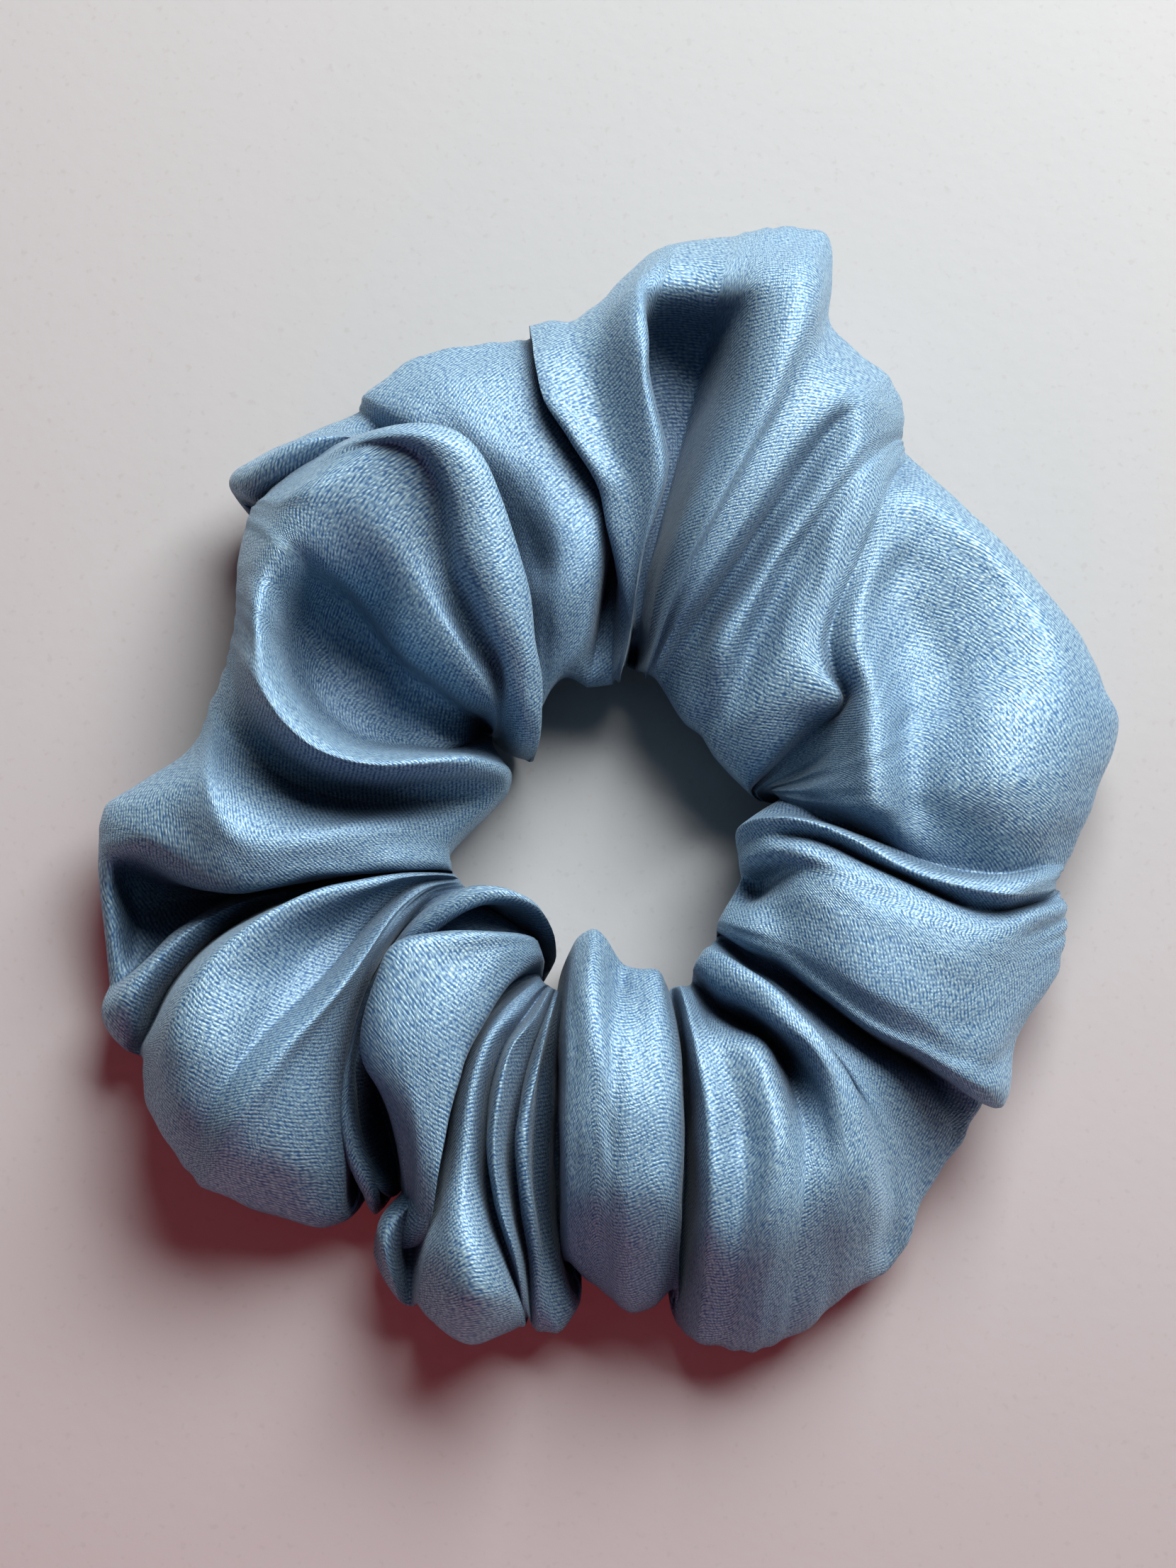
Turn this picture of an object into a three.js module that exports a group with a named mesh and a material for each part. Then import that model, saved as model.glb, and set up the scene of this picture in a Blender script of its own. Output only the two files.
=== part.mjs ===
// A satin scrunchie: a sleeve of cloth gathered on a flat elastic band.
// Millimetres, +Z up. The ring is drawn round the middle of its elastic band, and then moved so that
// the origin is the middle of its footprint, on the table that it lies on.
// The ring opens by stretching, so it is divided like a clock face into twelve gores that slide
// apart. Gore 12 lies on +Y and gore 3 on +X. Gore 8 holds the rest. Gore 2 is split in two at
// the closing seam, because that is where the real sleeve's two ends are sewn together.
import * as THREE from "three";

// The ring
const GORES = 12;
const GORE_DEGREES = 360 / GORES;
const CLOSING_GORE = 2;
const GORE_GAP_DEGREES = 0.7; // trimmed from each end of a gore, 0.35 mm at the hole
const RIM_HEIGHT = 12.5; // where the sleeve is widest, above the table
const CLOTH_WALL = 1.5; // two plies of satin with the air between their gathers
const ROUNDNESS = 0.8; // power on the section's sine: under 1 is boxier than an ellipse
const FLAT_FOOT = 1.25; // how much deeper than the table the section would reach if it weren't flat
const RING_STEPS = 8; // along one gore
const SECTION_STEPS = 18; // round the sleeve

// The elastic band
const BAND_RADIUS = 24; // relaxed, so the band is 151 mm round
const BAND_HEIGHT = 6;
const BAND_MIDDLE = 6.8; // above the table: the band sinks to the bottom of the sleeve
const BAND_THICKNESS = 1.2;
const BAND_STEPS = 5;
const LAP_GORE = 8; // where the band's two ends lap and are stitched
const LAP_DEGREES = 20;

// Sewing thread
const THREAD_RADIUS = 0.35;
const THREAD_SIDES = 5;
const THREAD_CLEARANCE = 0.8; // from the cloth's inner face to the thread's centre
const CLOSING_THREAD_CLEARANCE = 2;
const ZIGZAG_STITCHES = 6;
const ZIGZAG_HEIGHT = 4;
const ZIGZAG_RISE = 0.7; // from the lap's face to the thread's centre

// Crests and valleys of the gathered cloth, anticlockwise from +X:
// [direction in degrees, reach of the outer edge, reach of the hole's edge, height].
const PLEATS = [
  [0, 54.5, 17.5, 21],
  [11, 59, 16.5, 21],
  [24, 56, 16, 21],
  [35, 53.5, 15, 21],
  [51, 53, 15.5, 21],
  [56, 57, 16, 25],
  [64, 58, 16.5, 23],
  [72, 69, 16.5, 29],
  [85, 62.5, 17, 27],
  [92, 57, 17, 21],
  [99, 55, 16, 22],
  [110, 56, 15.5, 23],
  [120, 53, 14.5, 21],
  [131, 56, 14.5, 28],
  [138, 56, 14, 30],
  [152, 48, 14, 29],
  [166, 47, 15, 23],
  [178, 57, 16, 25],
  [196, 57, 17, 21],
  [202, 61, 16, 22],
  [206, 57.5, 15, 23],
  [215, 61, 14.5, 27],
  [222, 62, 14, 27],
  [233, 56, 14.5, 23],
  [240, 49, 16, 21],
  [248, 58.5, 15.5, 27],
  [256, 61.5, 16.5, 26],
  [263, 58, 16, 22],
  [268, 53, 15, 22],
  [274, 56, 14, 28],
  [278, 55, 17, 22],
  [283, 62, 18.5, 30],
  [298, 60, 19, 27],
  [310, 56, 18.5, 23],
  [319, 53.5, 18.5, 22],
  [325, 55, 18, 27],
  [333, 51, 17, 23],
  [345, 53.5, 15, 28],
  [351, 51, 15, 21],
];

const satin = new THREE.MeshStandardMaterial({ color: 0x86a8c8, roughness: 0.42, metalness: 0 });
const elastic = new THREE.MeshStandardMaterial({ color: 0xe9e6df, roughness: 0.9, metalness: 0 });
const thread = new THREE.MeshStandardMaterial({ color: 0x6f93b6, roughness: 0.7, metalness: 0 });

const scrunchie = new THREE.Group();

function addMesh(name, geometry, material) {
  const mesh = new THREE.Mesh(geometry, material);
  mesh.name = name;
  scrunchie.add(mesh);
}

// The pleats at one direction: each value eases from one row of PLEATS to the next.
function pleatAt(degrees) {
  const turn = THREE.MathUtils.euclideanModulo(degrees, 360);
  const found = PLEATS.findIndex((row) => row[0] > turn);
  const next = found === -1 ? [...PLEATS[0]] : PLEATS[found];
  if (found === -1) next[0] += 360;
  const last = PLEATS[(found === -1 ? PLEATS.length : found) - 1];
  const share = THREE.MathUtils.smoothstep(turn, last[0], next[0]);
  const [outer, hole, top] = [1, 2, 3].map((k) => THREE.MathUtils.lerp(last[k], next[k], share));
  return { outer, hole, top };
}

// A point on the sleeve's section in (reach, height), inset from the cloth's outer face.
// The turn is 0 at the outer edge, a quarter at the top and a half at the hole.
function sleevePoint(degrees, turn, inset) {
  const { outer, hole, top } = pleatAt(degrees);
  const bulge = Math.abs(Math.sin(turn)) ** ROUNDNESS;
  const reach = (outer + hole) / 2 + ((outer - hole) / 2 - inset) * Math.cos(turn);
  const above = RIM_HEIGHT + (top - inset - RIM_HEIGHT) * bulge;
  const below = Math.max(inset, RIM_HEIGHT - RIM_HEIGHT * FLAT_FOOT * bulge);
  return new THREE.Vector2(reach, Math.sin(turn) >= 0 ? above : below);
}

function sleeveSection(degrees, inset) {
  return Array.from({ length: SECTION_STEPS }, (_, k) =>
    sleevePoint(degrees, (2 * Math.PI * k) / SECTION_STEPS, inset),
  );
}

function bandSection(outerFace) {
  const low = BAND_MIDDLE - BAND_HEIGHT / 2;
  const innerFace = BAND_RADIUS - BAND_THICKNESS / 2;
  return [
    new THREE.Vector2(outerFace, low),
    new THREE.Vector2(outerFace, low + BAND_HEIGHT),
    new THREE.Vector2(innerFace, low + BAND_HEIGHT),
    new THREE.Vector2(innerFace, low),
  ];
}

function threadSection(centre) {
  return Array.from({ length: THREAD_SIDES }, (_, k) => {
    const turn = (2 * Math.PI * k) / THREAD_SIDES;
    const offset = new THREE.Vector2(Math.cos(turn), Math.sin(turn));
    return centre.clone().addScaledVector(offset, THREAD_RADIUS);
  });
}

// A closed solid swept round the ring from one direction to another. loopsAt(degrees) gives its
// section as an outer loop and, for a hollow one, an inner loop, each anticlockwise.
function ringSolid(from, to, steps, loopsAt) {
  const positions = [];
  const faces = [];
  const loopsOf = (step) => loopsAt(THREE.MathUtils.lerp(from, to, step / steps));
  const sizes = loopsOf(0).map((loop) => loop.length);
  const stride = sizes.reduce((sum, size) => sum + size, 0);
  for (let step = 0; step <= steps; step++) {
    const around = THREE.MathUtils.degToRad(THREE.MathUtils.lerp(from, to, step / steps));
    for (const { x: reach, y: height } of loopsOf(step).flat())
      positions.push(reach * Math.cos(around), reach * Math.sin(around), height);
  }
  const addQuad = (a, b, c, d) => faces.push(a, b, c, a, c, d);
  for (let step = 0; step < steps; step++) {
    let start = step * stride;
    sizes.forEach((size, loop) => {
      for (let k = 0; k < size; k++) {
        const here = start + k;
        const beside = start + ((k + 1) % size);
        if (loop === 0) addQuad(here, here + stride, beside + stride, beside);
        else addQuad(here, beside, beside + stride, here + stride);
      }
      start += size;
    });
  }
  for (const step of [0, steps]) {
    const [outer, ...holes] = loopsOf(step);
    for (const [a, b, c] of THREE.ShapeUtils.triangulateShape(outer, holes)) {
      const base = step * stride;
      if (step === 0) faces.push(base + a, base + b, base + c);
      else faces.push(base + a, base + c, base + b);
    }
  }
  const geometry = new THREE.BufferGeometry();
  geometry.setAttribute("position", new THREE.Float32BufferAttribute(positions, 3));
  geometry.setIndex(faces);
  geometry.computeVertexNormals();
  return geometry;
}

// A round thread along an open path of points.
function threadAlong(points, stepsPerPoint, tension) {
  const path = new THREE.CatmullRomCurve3(points, false, "catmullrom", tension);
  const circle = new THREE.Shape(threadSection(new THREE.Vector2()));
  const steps = (points.length - 1) * stepsPerPoint;
  return new THREE.ExtrudeGeometry(circle, { steps, extrudePath: path });
}

function onRing(degrees, { x: reach, y: height }) {
  const around = THREE.MathUtils.degToRad(degrees);
  return new THREE.Vector3(reach * Math.cos(around), reach * Math.sin(around), height);
}

function addSleeve(name, from, to, steps) {
  const loopsAt = (degrees) => [sleeveSection(degrees, 0), sleeveSection(degrees, CLOTH_WALL)];
  addMesh(`sleeve_gore_${name}`, ringSolid(from, to, steps, loopsAt), satin);
}

function addBand(name, from, to, isLapped) {
  const middle = (from + to) / 2;
  const plain = bandSection(BAND_RADIUS + BAND_THICKNESS / 2);
  const lapped = bandSection(BAND_RADIUS + BAND_THICKNESS * 1.5);
  const isLap = (degrees) => isLapped && Math.abs(degrees - middle) < LAP_DEGREES / 2;
  const solid = ringSolid(from, to, BAND_STEPS, (degrees) => [isLap(degrees) ? lapped : plain]);
  addMesh(`elastic_band_${name}`, solid, elastic);
}

function addSeamThread(name, from, to, steps) {
  const centreAt = (degrees) => sleevePoint(degrees, 0, CLOTH_WALL + THREAD_CLEARANCE);
  const solid = ringSolid(from, to, steps, (degrees) => [threadSection(centreAt(degrees))]);
  addMesh(`seam_thread_${name}`, solid, thread);
}

// The thread that closes the sleeve, run round the inside of its section.
function addClosingThread(degrees) {
  const inset = CLOTH_WALL + CLOSING_THREAD_CLEARANCE;
  const corners = 14;
  const opening = 0.25; // radians left between the thread's two ends
  const points = Array.from({ length: corners }, (_, k) =>
    onRing(
      degrees,
      sleevePoint(degrees, opening + ((2 * Math.PI - 2 * opening) * k) / (corners - 1), inset),
    ),
  );
  addMesh("closing_seam_thread", threadAlong(points, 2, 0.5), thread);
}

// Zigzag stitches through the lapped ends of the band.
function addLapStitches(middle) {
  const reach = BAND_RADIUS + BAND_THICKNESS * 1.5 + ZIGZAG_RISE;
  const span = LAP_DEGREES * 0.5;
  const points = Array.from({ length: ZIGZAG_STITCHES + 1 }, (_, k) => {
    const height = BAND_MIDDLE + (k % 2 ? -0.5 : 0.5) * ZIGZAG_HEIGHT;
    const degrees = middle - span / 2 + (span * k) / ZIGZAG_STITCHES;
    return onRing(degrees, new THREE.Vector2(reach, height));
  });
  addMesh("band_lap_stitches", threadAlong(points, 2, 0.2), thread);
}

function addGore(name, from, to, steps, isLapped) {
  addSleeve(name, from, to, steps);
  addBand(name, from, to, isLapped);
  addSeamThread(name, from, to, steps);
}

const goreDirection = (gore) => 90 - GORE_DEGREES * gore;
const halfGore = GORE_DEGREES / 2 - GORE_GAP_DEGREES;

for (let gore = 1; gore <= GORES; gore++) {
  const middle = goreDirection(gore);
  const label = String(gore).padStart(2, "0");
  if (gore === CLOSING_GORE) {
    const steps = RING_STEPS / 2;
    addGore(`${label}a`, middle + GORE_GAP_DEGREES, middle + halfGore, steps, false);
    addGore(`${label}b`, middle - halfGore, middle - GORE_GAP_DEGREES, steps, false);
    addClosingThread(middle + 2 * GORE_GAP_DEGREES);
  } else {
    addGore(label, middle - halfGore, middle + halfGore, RING_STEPS, gore === LAP_GORE);
  }
}
addLapStitches(goreDirection(LAP_GORE));

const footprint = new THREE.Box3().setFromObject(scrunchie).getCenter(new THREE.Vector3());
scrunchie.position.set(-footprint.x, -footprint.y, 0);

export default scrunchie;
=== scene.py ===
"""A satin scrunchie lying on a pale floor.

The sleeve is one closed sheet of satin, lofted over the folds listed in FOLDS and then cut into
twelve pieces that lie between the CAD gores. Lengths in the tables are millimetres, measured
from the middle of the elastic band's ring, on the table; Blender's objects are in metres.
"""
import math

import bmesh
import bpy
import numpy as np
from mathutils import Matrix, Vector, noise


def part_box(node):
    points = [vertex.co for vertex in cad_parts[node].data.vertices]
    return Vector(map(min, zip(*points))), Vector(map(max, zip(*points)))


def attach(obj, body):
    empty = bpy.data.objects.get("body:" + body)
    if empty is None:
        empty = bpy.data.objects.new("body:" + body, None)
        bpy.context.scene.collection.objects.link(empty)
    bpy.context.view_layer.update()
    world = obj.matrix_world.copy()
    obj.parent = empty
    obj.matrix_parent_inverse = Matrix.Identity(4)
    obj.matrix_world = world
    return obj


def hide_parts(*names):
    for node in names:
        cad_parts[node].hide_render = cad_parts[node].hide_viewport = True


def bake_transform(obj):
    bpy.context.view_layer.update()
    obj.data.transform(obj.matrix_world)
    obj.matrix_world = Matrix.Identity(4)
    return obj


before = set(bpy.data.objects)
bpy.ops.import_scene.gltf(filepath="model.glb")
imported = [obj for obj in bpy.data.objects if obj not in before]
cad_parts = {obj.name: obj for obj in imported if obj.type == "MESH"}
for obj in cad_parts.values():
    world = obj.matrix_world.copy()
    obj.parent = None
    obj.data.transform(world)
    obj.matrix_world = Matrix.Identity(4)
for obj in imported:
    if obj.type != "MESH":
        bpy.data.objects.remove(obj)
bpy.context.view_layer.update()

MM = 0.001

# ---------------------------------------------------------------- the folds of the sleeve
# Clockwise seen from above, starting at the right edge of the smooth panel at the top left.
# Each fold line runs from the hole's rim over the top of the sleeve to its outer rim.
# CREST lines touch the table underneath, VALLEY lines are creased and lifted off it, and SLOPE
# lines lie between the two.
CREST, SLOPE, VALLEY = "crest", "slope", "valley"
FOLDS = [
    # the top flap: its left edge lies over the smooth panel
    (VALLEY, "recess", [(-2.1, 16.4, 9), (-1.2, 21.4, 10), (-0.2, 28, 10), (0.5, 32.5, 12.5),
        (0.7, 37.4, 15), (-1.8, 42.6, 15.5), (-5.3, 47.7, 15.5), (-7.2, 52.4, 14), (-8.2, 56, 10.5),
        (-8.7, 58.1, 6)]),
    (VALLEY, "flap_tuck", [(0.5, 16.8, 9), (0.7, 22.7, 11), (1.4, 29.4, 12.5), (1.7, 34.6, 14.5),
        (0.4, 39.8, 17), (-3.2, 45.1, 17.5), (-5.9, 49.9, 17), (-7.4, 54.4, 14), (-8.1, 58.2, 9)]),
    (CREST, "flap_edge", [(0.9, 17, 11), (2.1, 21.9, 14.5), (1.2, 27.6, 17), (0.1, 32.4, 18.8),
        (-1.1, 37.2, 19.5), (-4.6, 42.9, 19.8), (-7.3, 47.4, 19.5), (-8.3, 52.1, 18),
        (-8.7, 56.3, 14), (-9, 59, 9)]),
    (SLOPE, "flap_middle", [(1.2, 16.8, 11), (2.4, 21.5, 15.5), (2.4, 26.6, 18.5),
        (2.7, 32.2, 20.3), (2.4, 37.1, 21), (-0.2, 43.9, 19.8), (-1.5, 49.8, 19.5),
        (-2.6, 54.5, 18), (-3.1, 59.7, 10)]),
    (CREST, "flap_ridge", [(1.5, 16.8, 12), (2.6, 20.9, 16), (3.2, 25.1, 18), (4.1, 30, 20),
        (5.5, 34.1, 21.5), (6.6, 38.2, 23), (5.9, 42.7, 24), (4.6, 48.2, 24.8), (4.3, 52.1, 24.8),
        (3.5, 56.6, 23.8), (3.2, 60.8, 20), (4.3, 64.2, 16), (4.7, 67.2, 9)]),
    (SLOPE, "pocket_wall", [(2.1, 19.1, 6), (2.6, 20.9, 5), (3, 23.3, 11.5), (3.5, 29.8, 11.5),
        (4.7, 35.2, 11), (6, 41.1, 11), (5.4, 46.4, 11), (4.3, 52, 12), (4.5, 55.9, 13.5),
        (5.3, 58, 18), (6.5, 60.9, 20.5), (7.6, 65.1, 17), (8.2, 68.4, 10)]),
    (VALLEY, "pocket", [(3.2, 18.6, 6), (3.4, 20.8, 4.5), (3.8, 23, 11.5), (4.9, 29.7, 11.2),
        (6.5, 36.1, 10), (8.3, 42.7, 10), (9.8, 48.7, 10), (11, 53.7, 11), (11.9, 56.8, 15),
        (12.6, 58.6, 21.5), (13.6, 63.1, 21), (14.4, 69.2, 10)]),
    (SLOPE, "pocket_right", [(4.2, 17.5, 10), (4.5, 19.3, 11.5), (4.9, 22.1, 14), (6.1, 27.1, 17.5),
        (8, 32.1, 20.5), (10.7, 37.7, 22.5), (13.3, 43.5, 23.5), (15.2, 49.1, 24), (16.6, 55.3, 24),
        (17.9, 60, 24.5), (19.4, 66.2, 18), (20.2, 70.4, 10)]),
    (CREST, "ridge", [(4.5, 16.9, 12), (5.9, 20.1, 17.5), (8.2, 26, 22), (10.9, 31.8, 24.5),
        (14.2, 38.3, 26), (17.3, 45, 27), (19.8, 51.4, 27), (22.4, 59.1, 25), (24.8, 65.4, 17),
        (26, 69.2, 9)]),
    (SLOPE, "ridge_side", [(4.8, 17.3, 12), (6.3, 21.2, 17), (8.9, 26, 21.5), (12.5, 31.9, 24),
        (16.4, 38.3, 25), (19.8, 44.3, 25), (22.7, 49.8, 24), (24.8, 54.7, 18.5),
        (26.2, 58.5, 10)]),
    (CREST, "ridge_lip", [(5.3, 17.1, 12), (6.9, 20, 17), (10.1, 24.4, 21), (13.6, 29.3, 23),
        (17.3, 34.4, 24), (20.4, 39.4, 24.5), (23.6, 43.7, 24), (27.1, 47.3, 22.5),
        (30.7, 49.9, 17.5), (32.6, 52.7, 9)]),
    # the upper right: a flat panel with two bumps near the hole
    (SLOPE, "under_ridge", [(6.1, 16.4, 9), (8.1, 18.4, 13), (10.9, 22.3, 15.5), (13.8, 26.5, 17.5),
        (16.8, 31.2, 19), (19.9, 35.4, 20.3), (22.8, 39.8, 21), (25.6, 43.3, 21.8), (29, 45.7, 22),
        (32.5, 47.8, 16), (34.3, 49.5, 9)]),
    (CREST, "bump_left", [(8.7, 12.1, 11), (10.9, 14.5, 15.5), (12.5, 18.1, 19), (15.2, 22.2, 20),
        (18, 27, 20.8), (21.4, 31.9, 21.3), (24.9, 36.9, 22), (28.3, 41, 22), (32.2, 44.6, 17),
        (34.6, 46.9, 9)]),
    (SLOPE, "bump_groove", [(10.6, 10.5, 10), (12.8, 11.9, 14), (15.2, 15.5, 16), (16.9, 20, 17),
        (19.1, 24.4, 18.3), (21.8, 29.2, 19.5), (24.9, 33.9, 21), (28.4, 38.7, 21), (32, 42.8, 16),
        (34.3, 45.2, 9)]),
    (CREST, "bump_right", [(12, 8.1, 11), (14.1, 9.5, 15), (17.2, 12.4, 18.5), (19.5, 16.5, 20),
        (20.7, 21.2, 20), (23.3, 26.9, 20.5), (26.2, 32.7, 21.5), (29.4, 38, 21),
        (32.3, 42.3, 15.5), (34.5, 44.6, 9)]),
    (CREST, "panel_lip", [(15.7, 4.3, 11), (17.7, 6.6, 15), (21.7, 10.4, 18), (25.5, 12.7, 20),
        (23.8, 16, 20.5), (23.5, 19.2, 20.5), (24.8, 23.6, 20.5), (27.5, 29, 20.5),
        (30.3, 34.9, 20.5), (32.8, 40.4, 15.5), (34.7, 43.7, 9)]),
    (VALLEY, "panel_crease", [(16.6, 4.2, 7), (19, 6.4, 10), (23.1, 9.7, 14), (26.7, 12.3, 17),
        (25.5, 16.1, 18.5), (25, 19.5, 19.2), (26.3, 23.8, 19.5), (28.7, 29.2, 19.7),
        (31.2, 34.8, 19.5), (33.5, 40.3, 14), (35.3, 42.9, 9)]),
    # the large smooth panel on the right, with a swell along the ring
    (SLOPE, "right_60", [(17.1, 3.9, 8), (20.8, 6.6, 11), (25.3, 9.9, 16), (28, 13.5, 20.5),
        (27.7, 17.6, 21.3), (28.3, 22.8, 20.8), (30.3, 28.1, 19.8), (32.6, 33.1, 18.8),
        (35.3, 37.4, 17), (37.8, 40.5, 9)]),
    (SLOPE, "right_50", [(17.4, 4, 8), (21.3, 6.1, 11), (26.1, 9, 17), (28.9, 12.6, 21.3),
        (29.7, 17.9, 20), (31.1, 23.5, 17.9), (33.3, 28, 17.2), (36.1, 31.6, 17.5),
        (39.1, 34.5, 17), (41.9, 36.4, 9)]),
    (SLOPE, "right_40", [(17.7, 4.1, 8), (21.7, 5.6, 11), (26.5, 7.8, 17.5), (29.3, 11.1, 21.5),
        (31.8, 16.9, 18.2), (34.3, 22.3, 16.4), (37.2, 26, 16.7), (40.4, 28.8, 17.4),
        (43.4, 30.7, 17.2), (46.1, 32.1, 9)]),
    (SLOPE, "right_30", [(18, 4.1, 8), (22, 4.9, 12), (26.7, 6.6, 18.3), (29.4, 8.8, 21.8),
        (33.3, 14.1, 17.4), (36.7, 18.8, 16), (40.3, 21.6, 16.8), (44.2, 23.8, 17.6),
        (47.8, 25.3, 17.4), (50.9, 26.4, 9)]),
    (SLOPE, "right_25", [(18.4, 4.1, 8), (22.3, 4.3, 12), (26.8, 4.9, 18.7), (29.5, 6.4, 22),
        (33.5, 10.2, 17.6), (37.9, 13.9, 16.9), (42.2, 16.2, 18), (46.9, 18.2, 18.6),
        (51, 19.9, 17.6), (54.6, 21.4, 9)]),
    (CREST, "right_15", [(18.7, 3.8, 9), (22.6, 3.4, 13), (26.9, 3, 19), (29.7, 3.9, 22),
        (33.8, 6.4, 18), (38.4, 8.7, 18.6), (42.9, 10.4, 20), (47.9, 12.1, 19.4), (53.1, 14, 17),
        (57.2, 15.2, 10)]),
    (SLOPE, "right_10", [(19, 3.7, 9), (23, 2.6, 13), (27.1, 1.6, 19), (29.9, 1.8, 21.8),
        (34.1, 3.2, 17.8), (38.6, 4.8, 19.2), (43.4, 6, 20.4), (48.7, 7.8, 19.2), (54, 9.5, 16),
        (59, 11.4, 8)]),
    (SLOPE, "right_0", [(19.2, 3.5, 9), (23.3, 1.8, 13), (27.4, 0, 19), (30.3, -0.5, 20.8),
        (34.5, 0.4, 17.2), (38.9, 1.2, 18.8), (43.7, 2.2, 20), (48.4, 3.4, 18.8), (52.9, 4.6, 15.6),
        (57, 6.1, 8)]),
    (SLOPE, "right_low", [(19.5, 3.2, 9), (23.7, 1.2, 12), (27.9, -1.1, 17), (31.3, -2, 18),
        (35.2, -2.6, 16.5), (39.7, -2.7, 17), (44.2, -2.2, 18), (48.4, -1.3, 17), (52, -0.2, 13.5),
        (54.7, 0.4, 8)]),
    (VALLEY, "right_valley", [(19.8, 2.9, 9), (24.1, 0.4, 12), (28.3, -1.7, 14), (32.1, -3.6, 15),
        (36, -5.3, 15), (40.2, -6.3, 15), (44.1, -6.6, 15), (47.6, -5.8, 13.5), (50.5, -4.9, 11),
        (52.4, -4.4, 7)]),
    # the rolled edge and the flat pleat below it
    (CREST, "roll", [(14.7, -1.3, 13), (16.5, -0.7, 18), (20.3, -1.1, 20.5), (24.6, -2.4, 21),
        (28.6, -4.4, 21.5), (32.7, -6.8, 21.5), (37, -8.3, 21), (41.8, -9.2, 20), (46.4, -9.3, 18),
        (51.1, -7, 8)]),
    (VALLEY, "roll_groove", [(14.8, -3.2, 11), (17.3, -2.8, 17.5), (20.8, -2.8, 18.5),
        (24.3, -3.6, 18.5), (28.2, -5.4, 18.5), (32.6, -7.4, 18), (37, -9.4, 17.5),
        (41.2, -10.9, 17), (45.6, -10.5, 14), (51.6, -7.5, 7)]),
    (CREST, "pleat_top", [(14.9, -5, 12), (17.2, -4.9, 17.5), (20, -5, 20.5), (23.3, -5.7, 22),
        (27.5, -7.4, 22.5), (31.8, -8.9, 22), (35.8, -10.3, 21), (39.8, -11.9, 20),
        (44.4, -12.4, 17.5), (48.8, -10.7, 14), (52.2, -8.3, 7)]),
    (SLOPE, "pleat_hollow", [(15.2, -6.5, 10), (17.3, -7.7, 11), (19.5, -7.1, 16), (22.1, -7.5, 21),
        (26.1, -9.4, 23), (30.6, -11.1, 23), (34.9, -12.8, 22.5), (39.3, -14.2, 21),
        (43.9, -14.6, 18), (48.5, -13.1, 13), (52.5, -10.5, 7)]),
    (CREST, "pleat_ear", [(13.2, -10.3, 12), (15.7, -10.4, 15.5), (18.4, -10.3, 17.5),
        (21.3, -10.3, 21), (25.5, -12.2, 23), (29.9, -14.1, 23.2), (34.4, -16.1, 22.5),
        (38.8, -17.4, 21), (43.1, -17.4, 18), (48, -15.8, 13), (52.3, -13, 7)]),
    (SLOPE, "pleat_middle", [(12.5, -11.6, 12), (15.2, -13, 17), (19.1, -14.3, 19),
        (23.6, -17.3, 21.5), (28.9, -20.5, 22.5), (34.4, -22.7, 21.5), (38.5, -23.7, 19.5),
        (42.7, -23, 17), (47.3, -20.5, 12), (51.3, -16.5, 6)]),
    (SLOPE, "pleat_low", [(12.4, -12.1, 12), (15.2, -14, 16.5), (19.1, -15.9, 18.5),
        (23.8, -19.4, 20), (29, -23, 20.5), (34.5, -25.7, 20), (38.5, -27.5, 18.5),
        (41.9, -27.7, 16.5), (44.6, -26.1, 12), (46.6, -23, 6)]),
    (CREST, "pleat_edge", [(12.4, -12.7, 12), (15.3, -14.9, 15.5), (19.1, -16.8, 17.5),
        (23.8, -20.7, 19), (29.1, -24.5, 19.5), (34.6, -27.3, 19), (38.6, -29.8, 17.5),
        (42.1, -31.6, 15), (44.6, -32, 9)]),
    (VALLEY, "under_pleat", [(12.7, -12.7, 9), (16.2, -15.4, 12), (20.6, -17.9, 12),
        (25.4, -21.3, 11), (30.6, -25.1, 10), (35.5, -27.8, 9), (39.5, -30.1, 8), (42.9, -31, 5)]),
    # the fold below it
    (SLOPE, "low_slope", [(12.5, -13, 9), (16.2, -16.1, 12), (20.3, -18.9, 13.5), (24.7, -22.8, 15),
        (29.3, -26.9, 15.5), (33.9, -29.4, 13), (37.3, -32.2, 9.5), (39.2, -34.8, 6.5),
        (40.2, -35.8, 4)]),
    (CREST, "low_crest", [(12.3, -13.5, 10), (16, -16.6, 13), (19.6, -19.7, 15.5),
        (23.4, -23.8, 17), (27.6, -28.2, 17.5), (30.9, -31.9, 15.5), (34, -36.3, 10.5),
        (35.5, -40, 7), (35.7, -42.2, 4)]),
    (SLOPE, "low_left", [(11.9, -13.9, 11), (15.5, -16.9, 14), (19, -20, 16), (22.6, -24.1, 17.5),
        (26.4, -28.6, 18), (29.6, -32.8, 16.5), (32.3, -38, 12), (33.7, -44, 7.5),
        (33.7, -47.5, 4)]),
    (SLOPE, "low_valley", [(11.6, -14.4, 12), (14.9, -17, 15), (18.3, -19.8, 16.5),
        (22.2, -23.9, 17.5), (25.8, -28.6, 17.7), (28.3, -32.9, 17.5), (30.2, -38.2, 15),
        (31.3, -43.4, 11), (31.4, -47.9, 7), (31.2, -50.6, 4)]),
    (CREST, "arch_crest", [(10.8, -15, 13), (13.6, -16.8, 18), (17, -19.2, 20), (20.8, -22.7, 21),
        (24.2, -26.6, 21.5), (26.9, -31.6, 21), (28.3, -36.9, 19.5), (29, -42.2, 17.5),
        (28.9, -47.8, 12.5), (28.4, -52.2, 5)]),
    (CREST, "arch_lip", [(9.8, -16.6, 13), (12, -19.1, 17), (15.5, -21.3, 19), (18.9, -23.9, 21),
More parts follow.
